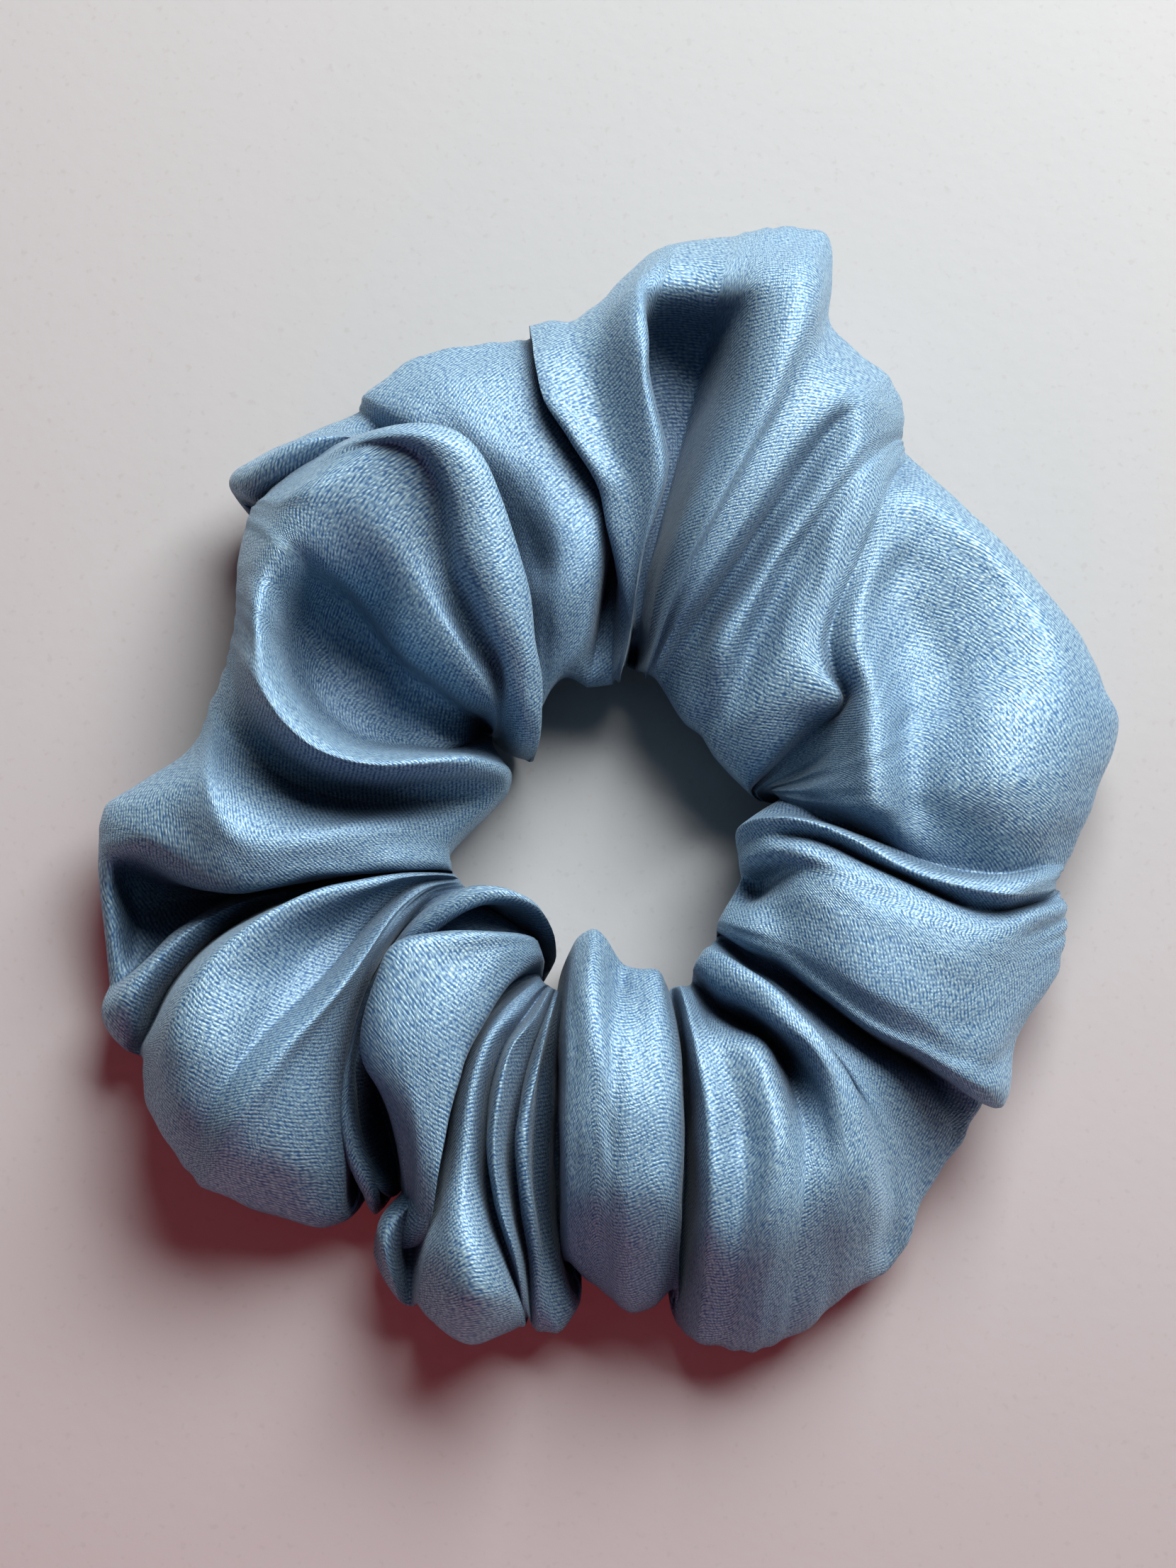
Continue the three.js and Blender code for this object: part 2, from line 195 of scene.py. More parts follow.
        (22.3, -27.1, 22), (24.5, -31.3, 22), (25.7, -36.3, 21.5), (26.3, -41.6, 20),
        (26.1, -47.6, 15.5), (26, -53.8, 5)]),
    # the bright lobe at the lower right, with a pit near the hole
    (SLOPE, "under_arch", [(9.7, -17.3, 9), (12.4, -20.8, 12), (15.7, -22.4, 13), (18.8, -25, 15),
        (21.2, -28.2, 17), (22.9, -32.3, 19.5), (23.6, -37, 20.5), (23.6, -42.4, 20.3),
        (23.2, -48, 16.5), (23, -56.6, 5)]),
    (VALLEY, "pit", [(9.6, -18, 8), (11.6, -20.6, 11), (13.8, -22.4, 11), (17.8, -24.8, 11),
        (19.6, -27.7, 14), (20.9, -32.1, 17.5), (21.5, -37, 19.8), (21.2, -43.2, 20.3),
        (20.4, -49.2, 17), (19.8, -58.2, 5)]),
    (CREST, "nose", [(9.2, -18.9, 12), (11.1, -22.8, 15), (13.5, -25.1, 18), (16.2, -26.5, 20),
        (17.4, -28.9, 21), (18.3, -34.1, 22.5), (18.6, -39.5, 22.8), (17.9, -45.2, 21.3),
        (17.1, -50.7, 17.5), (16.2, -59.5, 5)]),
    (SLOPE, "lobe_groove", [(8.8, -19, 12), (10.3, -23.4, 16.5), (11.9, -26.8, 19),
        (13.4, -30.8, 20), (14.5, -35.5, 20.3), (14.8, -40.1, 20.8), (14.5, -45.9, 20),
        (13.9, -51.1, 16.5), (13, -59, 5)]),
    (CREST, "lobe_left", [(8.1, -18.9, 12), (9, -23.5, 17.5), (9.7, -27.7, 20), (10.4, -32.5, 21.5),
        (10.8, -37.2, 22.3), (10.9, -42.5, 22), (10.7, -47.7, 19), (10.4, -52.1, 13.5),
        (9.7, -58.2, 5)]),
    (VALLEY, "between_lobes", [(7.2, -18.9, 9), (7.9, -23.7, 12), (8.5, -28.4, 11),
        (8.7, -33.9, 10), (8.7, -39.3, 9), (8.4, -45.6, 8), (7.8, -51.9, 6), (7.5, -55.7, 3)]),
    # the upright lobe at the bottom
    (CREST, "upright_right", [(6.8, -19.5, 12), (7, -22.2, 16), (7.6, -26.4, 19),
        (7.9, -31.8, 20.5), (8, -37.9, 20.2), (7.9, -43.5, 18.5), (7.8, -48.5, 13.5),
        (7.6, -52.6, 5)]),
    (SLOPE, "upright_bump", [(5.8, -17.4, 13), (5.7, -19.8, 17), (5.7, -24.7, 21),
        (5.8, -30.9, 22.8), (5.8, -37.5, 22.6), (5.7, -43.7, 21), (5.5, -49.2, 15.5),
        (5.2, -54.5, 5)]),
    (SLOPE, "upright_middle", [(3.4, -17.1, 13), (3, -19.7, 16.5), (2.7, -24.7, 21.3),
        (2.5, -31, 23.6), (2.4, -37.6, 23.5), (2.2, -43.7, 21.8), (2.2, -49.7, 16),
        (2.8, -55.2, 5)]),
    (SLOPE, "upright_dip", [(1.7, -16.4, 12), (1.3, -19, 15.5), (0.8, -23.6, 20.8),
        (0.6, -30.4, 23.4), (0.6, -37, 23.3), (0.5, -43.4, 21.5), (0.6, -49.2, 15.5),
        (1.4, -54.5, 5)]),
    (CREST, "upright_tip", [(-1.1, -12.6, 12), (-1.4, -15.6, 17.8), (-1.6, -19.7, 21.3),
        (-1.5, -25.5, 23), (-1.3, -32.1, 23.2), (-1.3, -38, 22.6), (-1.3, -43.6, 20.3),
        (-0.9, -48.6, 14.5), (0, -53.2, 5)]),
    (SLOPE, "upright_shoulder", [(-3.1, -13.2, 12), (-3.4, -16.4, 17), (-3.4, -20.8, 20.7),
        (-3.3, -27, 22.3), (-3.2, -33.6, 22.2), (-3.1, -39.6, 21), (-3.1, -44.4, 18.5),
        (-2.7, -48.5, 13), (-2, -51.7, 5)]),
    (CREST, "upright_left", [(-4.2, -14.9, 12), (-4.4, -18, 16), (-4.6, -22.3, 19.5),
        (-4.7, -28.6, 21), (-4.7, -35.2, 20.6), (-4.7, -41.1, 19), (-4.7, -45.9, 15.5),
        (-4.4, -49.6, 6)]),
    (VALLEY, "left_of_upright", [(-4.8, -16.2, 9), (-5.1, -20.8, 11.5), (-5.5, -26.8, 9),
        (-5.6, -32.5, 8), (-5.7, -39.2, 7), (-5.5, -45.3, 5), (-4.9, -49.5, 3)]),
    # two narrow folds
    (SLOPE, "narrow_slope", [(-5.1, -19.5, 10), (-5.7, -23.3, 13), (-6.2, -28.4, 13),
        (-6.3, -34, 12.5), (-6.5, -39.5, 11.5), (-6.2, -45, 10), (-5.4, -50, 8.5),
        (-3.4, -54.4, 5)]),
    (SLOPE, "narrow_face", [(-5.4, -19.5, 11), (-6.2, -23.5, 15), (-7.4, -28.6, 15.5),
        (-8, -34.2, 15), (-8.2, -39.7, 14), (-7.7, -45.1, 12.5), (-6.8, -50.6, 10.5),
        (-5.4, -57.2, 5)]),
    (CREST, "narrow_right", [(-5.6, -19.5, 12), (-6.6, -23.4, 17), (-8.1, -29.4, 18),
        (-9.4, -35, 18.5), (-9.5, -39.4, 18), (-8.9, -44.2, 16), (-8.3, -49.6, 12),
        (-7.5, -57.3, 5)]),
    (VALLEY, "narrow_groove", [(-5.8, -19.3, 11), (-7.2, -23.2, 14.5), (-9, -28.5, 14.5),
        (-10.1, -34.6, 14), (-10.2, -39.6, 13), (-9.7, -44.5, 11.5), (-8.9, -49.5, 9.5),
        (-8.3, -56.9, 5)]),
    (SLOPE, "narrow_left_face", [(-6, -19.3, 12), (-7.8, -23.2, 16.5), (-10, -27.7, 18),
        (-11.3, -33.8, 18), (-11.4, -39.3, 17.5), (-10.6, -44.8, 16), (-9.5, -50.2, 13),
        (-8.5, -56.5, 5)]),
    (CREST, "narrow_left", [(-6.3, -19.2, 12.5), (-8.4, -23.3, 17.5), (-10.9, -26.9, 19.5),
        (-12.3, -32.8, 20), (-12.7, -38.4, 19.5), (-12, -43.8, 18), (-10.3, -49.2, 15.5),
        (-8.9, -55.6, 6)]),
    (VALLEY, "under_narrow", [(-6.6, -18.7, 10), (-9.2, -22.6, 14), (-11.7, -26, 14.5),
        (-13.1, -31.4, 14), (-13.5, -37.4, 14), (-12.8, -43.6, 14), (-11.1, -49.1, 13),
        (-9.5, -54.5, 9), (-9.3, -56.5, 5)]),
    # the long fold that ends in the round lobe, the curl beside it, and the flat panel over both
    (SLOPE, "round_right", [(-6.8, -18.7, 11), (-9.7, -22.2, 15.5), (-12.4, -25.9, 17),
        (-14, -31.5, 17), (-14.4, -37.6, 17), (-13.9, -43.8, 17.5), (-12.5, -49.3, 18.5),
        (-10.9, -53.8, 15), (-10.9, -57.1, 6)]),
    (CREST, "round_crest", [(-7.1, -18.5, 11), (-10.4, -21.6, 16), (-13.3, -25.6, 18),
        (-14.9, -31.1, 18.5), (-15.6, -37.8, 18.5), (-15.8, -43.9, 19.5), (-14.7, -49.4, 21.3),
        (-14.2, -54.5, 19.5), (-15, -58.8, 7)]),
    (SLOPE, "round_left", [(-7.3, -18.3, 11), (-11, -21.1, 15.5), (-14.2, -25.5, 17),
        (-15.9, -31, 17.5), (-16.7, -37.7, 17.5), (-17.6, -43.8, 18.5), (-17.5, -49.4, 20),
        (-17.6, -54.2, 17), (-18.8, -56.8, 7)]),
    (VALLEY, "under_panel", [(-7.5, -17.9, 10), (-11.6, -20.3, 13), (-15, -24.8, 13.5),
        (-16.8, -30.1, 14), (-17.9, -37.4, 14), (-18.9, -43.6, 15), (-19.9, -48.6, 16),
        (-20.7, -51.8, 12), (-21.3, -54.1, 6)]),
    (VALLEY, "curl_inside", [(-7.6, -17.6, 9), (-11.9, -20, 12), (-15.5, -24.6, 12),
        (-17.5, -29.9, 11), (-19, -37.1, 9), (-20.8, -43.2, 7), (-22.1, -47.6, 6),
        (-22.3, -51, 5.5), (-21.8, -54.4, 4)]),
    (CREST, "curl", [(-7.7, -17.4, 9), (-12.2, -19.8, 12), (-15.9, -24.4, 12), (-18, -29.9, 11),
        (-19.9, -37, 8), (-21.9, -42.5, 9.5), (-24.1, -45.1, 11), (-25, -48.4, 11),
        (-24.1, -51.9, 8.5), (-23.3, -53.7, 4)]),
    (VALLEY, "behind_curl", [(-7.7, -17.3, 9), (-12.4, -19.5, 12), (-16.2, -24.3, 12),
        (-18.5, -29.8, 10), (-20.5, -36.9, 7), (-22.9, -41.3, 5), (-24.9, -43.6, 5),
        (-26.2, -46.4, 4.5), (-26.3, -48.6, 3)]),
    (CREST, "panel_right_edge", [(-7.3, -16.3, 12), (-10.4, -18.9, 17), (-13, -22.9, 18.5),
        (-15.2, -26.7, 19), (-16.4, -30.6, 19.2), (-17.8, -36.1, 18.5), (-18.8, -41.6, 17.5),
        (-19.8, -45.8, 14), (-20.8, -47.6, 8)]),
    (SLOPE, "panel_right", [(-7.3, -15.8, 13), (-11.2, -17.6, 18.7), (-14.5, -21.2, 20.5),
        (-17.2, -25.8, 21), (-18.9, -30.7, 20.5), (-20, -36.1, 19), (-20.6, -40.9, 16.5),
        (-21.2, -44.6, 12), (-21.7, -46.8, 6)]),
    (CREST, "flat_panel", [(-7.4, -15.2, 13), (-11.2, -15.5, 19), (-16.2, -17.9, 21),
        (-20, -22.3, 21.8), (-22.2, -27, 21.5), (-22.5, -31.8, 20), (-21.9, -36.5, 17),
        (-21.7, -40.7, 13), (-22, -43.8, 8)]),
    (CREST, "panel_fold", [(-7.8, -14.2, 13), (-11.8, -13.8, 19), (-17.9, -14.2, 20.8),
        (-23.3, -15.3, 21), (-25.5, -19.1, 20.5), (-27, -23.4, 19.5), (-27.2, -27.7, 18),
        (-25, -31.6, 17), (-23.4, -35.8, 15), (-22.7, -40.3, 11), (-22.6, -43.1, 6)]),
    (VALLEY, "loop_dark", [(-7.8, -13.5, 9), (-13.1, -13.4, 12), (-19.1, -14.5, 12),
        (-23, -19.4, 11), (-25.7, -25.6, 8), (-26.2, -29.9, 5), (-25.1, -33.8, 4), (-24, -37.9, 4),
        (-23.3, -40.8, 3)]),
    (CREST, "loop_crest", [(-7.9, -13.3, 9), (-13.5, -12.9, 12), (-20.2, -13.8, 12),
        (-24.9, -19.5, 12), (-28.1, -26.3, 12), (-29.1, -30.8, 11.5), (-28.9, -35.2, 11),
        (-27.9, -39.3, 9.5), (-25.9, -41.5, 7.5), (-24.2, -41.9, 4)]),
    (VALLEY, "hollow", [(-15.4, -8.2, 9), (-18.8, -9.2, 12), (-21.9, -11.9, 12), (-24.5, -15.3, 10),
        (-26.8, -20.4, 7), (-28.6, -26.2, 4), (-28.9, -32, 3.5), (-28.4, -35.9, 3),
        (-28, -37.7, 2.5)]),
    (CREST, "back_fold", [(-6.3, -13.5, 11), (-8, -10.2, 15), (-12, -8.8, 17), (-16, -9.8, 17),
        (-20, -12.3, 16), (-25, -17.5, 14), (-28, -24, 13), (-29, -31, 13), (-28.5, -37, 11),
        (-26.3, -42, 8), (-25.7, -43.7, 4)]),
    (VALLEY, "behind_back_fold", [(-15.9, -7.8, 9), (-19.4, -8.8, 12), (-22.3, -11.6, 12),
        (-25, -15.1, 10), (-27.4, -20.3, 7.5), (-29.1, -26.1, 5), (-29.5, -32, 4),
        (-29.1, -36.6, 3), (-28.6, -38.6, 2.5)]),
    # the large lobe at the lower left
    (SLOPE, "left_lobe_edge", [(-16.1, -7.5, 9), (-19.7, -8.5, 13), (-22.8, -11.7, 15),
        (-25.5, -16.2, 15), (-27.8, -21.6, 14.5), (-29.1, -27.5, 13.5), (-29.6, -32.7, 12),
        (-29.4, -38.5, 9.5), (-29.4, -44.3, 5)]),
    (SLOPE, "left_lobe_slope", [(-16.2, -7.3, 9.3), (-19.9, -8.3, 13.5), (-23.2, -11.6, 16),
        (-26.3, -17.1, 17.5), (-29.2, -23, 18), (-31.3, -29.1, 17.7), (-32.2, -34.9, 16.3),
        (-32.5, -40.5, 12.5), (-32.5, -45.6, 5)]),
    (SLOPE, "left_lobe_front", [(-16.4, -7.1, 9.6), (-20, -8.1, 14), (-23.5, -11.5, 16.5),
        (-26.6, -17.2, 19), (-30.3, -22.9, 20.3), (-33.8, -28.5, 21), (-36.2, -34.3, 20),
        (-37.9, -39.6, 16.5), (-39.5, -43.7, 6)]),
    (CREST, "left_lobe_crest", [(-16.6, -7, 10), (-20.3, -8, 14.3), (-23.9, -11.3, 17),
        (-27.2, -16.7, 20), (-31.1, -21.9, 22), (-35.3, -26.8, 23.3), (-38.8, -32, 23),
        (-41.5, -36.5, 20.5), (-43.6, -40.1, 15.5), (-45.2, -41.2, 8)]),
    (VALLEY, "left_lobe_valley", [(-16.7, -6.7, 10), (-20.7, -7.4, 13.5), (-25, -10.1, 14),
        (-29.1, -15, 15), (-33.3, -20.2, 17.5), (-37.9, -25.2, 19.8), (-41.6, -30.5, 20.8),
        (-44.1, -34.9, 19), (-45.8, -37.8, 15), (-47.4, -38.9, 8)]),
    (SLOPE, "left_lobe_panel", [(-16.9, -6.6, 10.5), (-21.1, -7.1, 14.5), (-26.1, -9.3, 16),
        (-31.2, -13.2, 15.8), (-36, -18.1, 18.3), (-40.5, -23.2, 21.3), (-44.5, -28.6, 22),
        (-47.5, -33.3, 18.5), (-49.9, -35.4, 9)]),
    (CREST, "left_lobe_back", [(-17, -6.5, 11), (-21.6, -6.9, 16), (-27.1, -8.4, 19),
        (-32.4, -10.1, 20.5), (-37.5, -12.7, 21.8), (-42, -16.4, 22.3), (-45.7, -21.3, 22.3),
        (-48.5, -26.4, 20.5), (-50.7, -30.3, 14), (-52.1, -31.2, 7)]),
    (CREST, "left_lobe_rim", [(-17.1, -6.2, 10), (-22, -6.6, 14.5), (-27.6, -7.7, 16.5),
        (-32.6, -9.2, 17.5), (-38, -11.6, 19), (-43.2, -15.2, 20), (-47.4, -19.9, 19.5),
        (-50.4, -24.7, 16), (-52.3, -27.3, 8)]),
    (VALLEY, "behind_left_lobe", [(-17.3, -5.9, 9), (-22.4, -6.1, 12), (-28.2, -6.8, 12),
        (-33.1, -8.1, 11.5), (-39.2, -9.8, 10), (-44.8, -13.1, 8.5), (-49.4, -17.7, 7),
        (-52.2, -23, 5.5), (-53.2, -26.2, 4)]),
    # the far left: a dark fold below a deep hollow
    (SLOPE, "dark_slope", [(-17.3, -5.9, 9), (-22.8, -6, 12), (-28.5, -6.7, 11.5),
        (-33.7, -7.9, 11), (-39.8, -9.5, 11), (-45.4, -13.3, 11.5), (-50.4, -18.5, 11.2),
        (-53.5, -23.4, 9.5), (-54.7, -25.5, 5)]),
    (CREST, "dark_fold", [(-17.4, -5.8, 9), (-22.9, -5.9, 12), (-28.8, -6.6, 11.5),
        (-34.3, -7.8, 11), (-40.9, -9.2, 12), (-46.8, -12.3, 13), (-51.4, -16.6, 13),
        (-54.9, -20.7, 12), (-57.4, -22, 6)]),
    (VALLEY, "hollow_low", [(-17.5, -5.7, 9), (-23.1, -5.9, 12), (-28.9, -6.3, 10),
        (-35.2, -7.1, 8), (-42.7, -8, 6), (-49.1, -11.3, 5.5), (-53.3, -15.6, 6), (-55.7, -17.9, 7),
        (-56.8, -17.9, 4.5)]),
    (SLOPE, "hollow_high", [(-17.5, -5.7, 9), (-23.2, -5.8, 12), (-29.1, -6.1, 10),
        (-35.2, -6.7, 7.5), (-42.9, -7.3, 4.5), (-49.7, -8.2, 3.5), (-54, -10.2, 4),
        (-56.2, -12.9, 8), (-57.2, -13.1, 5)]),
    (CREST, "hollow_rim", [(-17.6, -5.6, 9.5), (-23.3, -5.8, 12.5), (-29.1, -6.2, 11),
        (-35.1, -6.8, 9), (-42.7, -7.1, 6), (-50.2, -6.6, 5), (-54.6, -5.3, 7), (-56.6, -4.7, 11),
        (-58, -4, 6)]),
    (CREST, "left_edge", [(-17.6, -5.7, 11), (-22.5, -6.2, 16), (-28.4, -7, 18), (-33.1, -7.8, 19),
        (-37.3, -8.8, 19), (-40.9, -9.1, 18.5), (-44.2, -8.3, 18), (-48.9, -4.8, 17),
        (-53.6, -1.8, 15.5), (-57.9, 0.6, 9)]),
    (SLOPE, "left_triangle", [(-17.7, -5.1, 12), (-22.5, -5.3, 17), (-28.4, -5.9, 19),
        (-33, -6.7, 20), (-37.1, -7.3, 20.5), (-40.7, -7, 20.5), (-43.8, -5.2, 20),
        (-47.6, -1.7, 18.5), (-52.5, 1.2, 15.5), (-57.1, 2.6, 8)]),
    (CREST, "left_crest", [(-17.8, -3, 12), (-22.5, -2.3, 17), (-28.3, -2.5, 20), (-33, -3.1, 21),
        (-37.1, -3.5, 21.5), (-40.6, -2.4, 21.5), (-43.1, -0.2, 21.5), (-44.7, 3, 20),
        (-46.3, 6.8, 15), (-47.6, 9.1, 8)]),
    # the cup at the upper left: its rolled lower lip, its bowl and the strand that closes it
    (SLOPE, "under_lip", [(-13.2, 2, 10), (-18, 2, 13.5), (-25, 1.2, 15), (-32.1, 2.2, 15),
        (-37.9, 5, 15), (-42, 8.4, 14.5), (-44.4, 11.9, 12), (-45.5, 14.7, 7)]),
    (VALLEY, "lip_tuck", [(-11.5, 3.8, 11), (-15, 3.8, 15), (-21, 3.2, 17), (-27, 2.9, 17),
        (-33, 4.1, 17), (-37.7, 7.6, 17), (-40.6, 11.2, 16.5), (-42.6, 15.1, 14),
        (-43.9, 18.3, 8)]),
    (CREST, "lip", [(-11, 5.5, 12), (-14.5, 5.2, 20), (-19.3, 4.4, 23.5), (-25.6, 3.9, 24.5),
        (-31.7, 5.3, 25), (-35.8, 8.5, 25), (-38.6, 12.5, 24.5), (-40.5, 16, 22), (-42.1, 19.3, 15),
        (-43.2, 21.5, 8)]),
    (CREST, "lip_inside", [(-11.7, 6.7, 11), (-15.6, 6.5, 17.5), (-20.4, 5.8, 21),
        (-26.2, 5.4, 22.5), (-31.3, 7.2, 23), (-35.2, 10.7, 23.5), (-37.7, 14.4, 24),
        (-39.3, 17.9, 23.5), (-40.9, 20.9, 19.5), (-42.6, 23.7, 10)]),
    (SLOPE, "bowl_left", [(-12.8, 8.6, 9), (-16.8, 8.1, 12), (-21.8, 8.1, 13), (-27.5, 9.5, 10.5),
        (-32.1, 12.7, 10), (-34.9, 16.5, 10.5), (-36.8, 19.8, 14.5), (-38.6, 21.5, 23.3),
        (-40.8, 24, 20), (-42.5, 26.8, 10)]),
    (SLOPE, "bowl_low", [(-13.3, 10.2, 7), (-14.5, 10.7, 6), (-16.9, 9.1, 10.5), (-20.9, 10, 11.3),
        (-25.6, 13, 9), (-29.8, 17.1, 8), (-32.5, 20.8, 8.8), (-34.8, 23.7, 12.5),
        (-37.6, 25.2, 23), (-40.2, 27.4, 20.5), (-42.4, 30.1, 10.5)]),
    (SLOPE, "bowl", [(-13.2, 10.9, 6), (-14.2, 12.1, 4.5), (-16.2, 12.6, 10.5), (-18.7, 14.2, 11.3),
        (-21.7, 16.6, 10.5), (-25.1, 19.9, 8.5), (-27.7, 22.8, 9.5), (-30.3, 25.3, 12),
        (-32.9, 26.7, 17), (-36, 28.2, 23.8), (-39, 30.8, 21), (-41.7, 33.6, 11)]),
    (CREST, "bowl_high", [(-13.1, 10.5, 10), (-13.5, 11.8, 15), (-15.4, 12.6, 17.5),
        (-18, 14.5, 18), (-21, 17, 18), (-23.7, 19.7, 17), (-26.3, 23.5, 16), (-28.8, 25.9, 18.5),
        (-31.7, 27.9, 22), (-34.8, 30.6, 24.5), (-37.9, 32.9, 21.5), (-41.1, 36.1, 11)]),
    (SLOPE, "inner_fold", [(-12.8, 10.4, 11), (-12.7, 12, 17), (-14.1, 14.5, 20.5),
        (-16.5, 17.7, 22), (-19.5, 21.8, 22), (-22.3, 26.3, 22), (-25.7, 30.5, 23.5),
        (-29.8, 33.5, 25.5), (-33.2, 34.7, 26), (-36.7, 34.7, 22.5), (-40.1, 36.7, 12)]),
    (SLOPE, "groove", [(-12.6, 10.5, 11), (-12, 12.3, 16.5), (-12.4, 16, 18.5), (-14.5, 18.8, 19.5),
        (-16.5, 22.7, 20.3), (-18, 26.5, 21.3), (-18.7, 30.8, 22.3), (-19.5, 35, 24),
        (-21.2, 38.5, 26), (-24.4, 40, 26.5), (-29.3, 39, 26), (-33.9, 37.8, 22),
        (-38.9, 38.1, 12)]),
    (SLOPE, "strand_inside", [(-11.9, 10.3, 12), (-11.1, 12.4, 18.5), (-11.2, 15.8, 21.5),
        (-12.5, 19.8, 24), (-14.2, 24, 25.5), (-15.9, 28.3, 26.5), (-16.9, 32.7, 27),
        (-18.3, 36.9, 28), (-20.8, 39.6, 28.3), (-24.8, 40.5, 27.5), (-29.1, 40.1, 25.5),
        (-33.2, 39.5, 20.5), (-37.8, 39.4, 12)]),
    (CREST, "strand", [(-10.4, 8.7, 13), (-9.2, 10.9, 18.5), (-8.9, 15.3, 21.5), (-9.7, 19.8, 24),
        (-11, 24.4, 25.8), (-12.4, 29.1, 27), (-13.7, 33.5, 27.8), (-15.7, 37.8, 28.5),
        (-18.4, 40.3, 28.5), (-21.9, 41.4, 28), (-26.4, 41.5, 26), (-31.7, 40.9, 20),
        (-36.5, 40.6, 11)]),
    (CREST, "strand_outside", [(-8.2, 8, 11), (-7.5, 9.9, 14.5), (-7.4, 14.1, 17.5),
        (-8.3, 18.7, 20), (-9.2, 24.3, 22), (-10.4, 28.9, 24), (-11.8, 33.5, 25.5),
        (-13.8, 38.3, 26.5), (-16.5, 41.3, 26.5), (-20.5, 42.4, 26.5), (-26, 42.5, 24),
        (-31.4, 42, 18), (-35.9, 41.8, 9)]),
    # a tip that sticks out behind the cup
    (VALLEY, "behind_cup", [(-9, 8.3, 8), (-13, 16, 11), (-19, 24, 12), (-25, 31, 11),
        (-31, 35, 11), (-36, 35.5, 9), (-39.5, 35, 6)]),
    (SLOPE, "tip_low", [(-8.9, 8.8, 8), (-13, 18, 12), (-18, 27, 11), (-23, 34, 12), (-29, 38, 13),
        (-34.3, 38, 12), (-38.3, 37, 10), (-40.3, 37.4, 6)]),
    (CREST, "tip", [(-8.8, 9.5, 8), (-12.5, 19, 12), (-17, 29, 11), (-22, 37, 13.5),
        (-27.4, 40.9, 17), (-32.9, 40.3, 17.5), (-37.8, 38.9, 16.5), (-41.8, 38.2, 14),
        (-43.8, 39.4, 8)]),
    (CREST, "tip_top", [(-8.7, 9.9, 8), (-12, 19, 12), (-16.2, 29, 11), (-21, 37.8, 13),
        (-26.2, 42.5, 17), (-30.3, 43.1, 19), (-34.9, 42.7, 18.5), (-39.6, 41.3, 15.5),
        (-42.9, 41.4, 9)]),
    (VALLEY, "behind_tip", [(-8.6, 10.5, 8), (-11, 19, 12), (-14, 28, 11), (-18, 36, 11),
        (-21.9, 41.4, 11.5), (-25.5, 44.9, 11), (-27.8, 47.6, 10), (-29, 49.2, 6)]),
    # the smooth panel at the upper left
    (SLOPE, "smooth_left", [(-8.2, 12, 10), (-9.5, 18, 13), (-10.5, 25, 14), (-12, 33, 14.5),
        (-16, 39.5, 15.5), (-21.5, 44.5, 16), (-26, 48.5, 13), (-28.5, 50.5, 8)]),
    (SLOPE, "smooth_dimple", [(-7.2, 14, 11), (-7.5, 19, 15), (-7.8, 24.5, 17), (-8.2, 29, 16),
        (-10.5, 36, 17), (-15, 43, 17.5), (-19, 49.5, 15.5), (-21, 53.5, 11.5), (-22, 55.5, 8)]),
    (CREST, "smooth_middle", [(-5.8, 16, 12), (-4.8, 20, 16), (-4.5, 25, 18.5), (-4.8, 30, 19),
        (-6.5, 36, 18.5), (-10, 43, 17.5), (-13, 50, 15.5), (-14.3, 55, 11.5), (-14.8, 57, 8)]),
    (CREST, "smooth_edge", [(-4.2, 17, 12), (-2.6, 20, 15), (-1.4, 25.5, 17), (-0.8, 30.8, 18),
        (-0.9, 36.1, 17.5), (-3.6, 41.1, 17), (-6.8, 46.3, 16.5), (-8.9, 51.3, 15),
        (-10.1, 55.5, 11.5), (-10.7, 57.6, 7)]),
]

# How strongly the sheet keeps its direction as it passes each kind of fold line: 1 is a round
# crest, 0 a sharp crease. LIFT is the height of the sheet's underside below that line.
ROUND = {CREST: 1.0, SLOPE: 0.9, VALLEY: 0.3}
LIFT = {CREST: 0.4, SLOPE: 2.0, VALLEY: 5.0}
FLOOR_GAP = 0.15
RIM_TUCK, HOLE_TUCK = 0.90, 1.22  # where the underside starts and ends, as shares of the radius
HOLE_HEIGHT = 1.2  # the underside's height at the hole
STEPS_FINE = 12  # samples between two points of a fold line, before they are spread evenly
STEPS_OVER = 44  # samples along a fold line, from the hole over the top to the outer rim
STEPS_UNDER = 20
STEPS_BETWEEN = 8  # samples from one fold line to the next

WAVES = [(0.34, 0.16), (0.16, 0.45)]  # height and closeness of the satin's small waves
PUCKER_HEIGHT, PUCKER_ROWS, PUCKER_TURN = 0.18, 3.5, 1.9
CALM_ROWS = 6  # rows at the hole and at the outer rim over which the waves die out


def hole_centre():
    """The middle of the elastic band's ring, in metres, on the table."""
    top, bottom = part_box("elastic_band_12")[1].y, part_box("elastic_band_06")[0].y
    right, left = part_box("elastic_band_03")[1].x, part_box("elastic_band_09")[0].x
    return np.array([(left + right) / 2, (bottom + top) / 2, 0])


HOLE = hole_centre()


def unit(v):
    return v / np.maximum(np.linalg.norm(v, axis=-1, keepdims=True), 1e-9)


def hermite(a, b, start, end, t):
    """Points from a to b that leave along start and arrive along end."""
    return (
        (2 * t**3 - 3 * t**2 + 1) * a
        + (t**3 - 2 * t**2 + t) * start
        + (3 * t**2 - 2 * t**3) * b
        + (t**3 - t**2) * end
    )


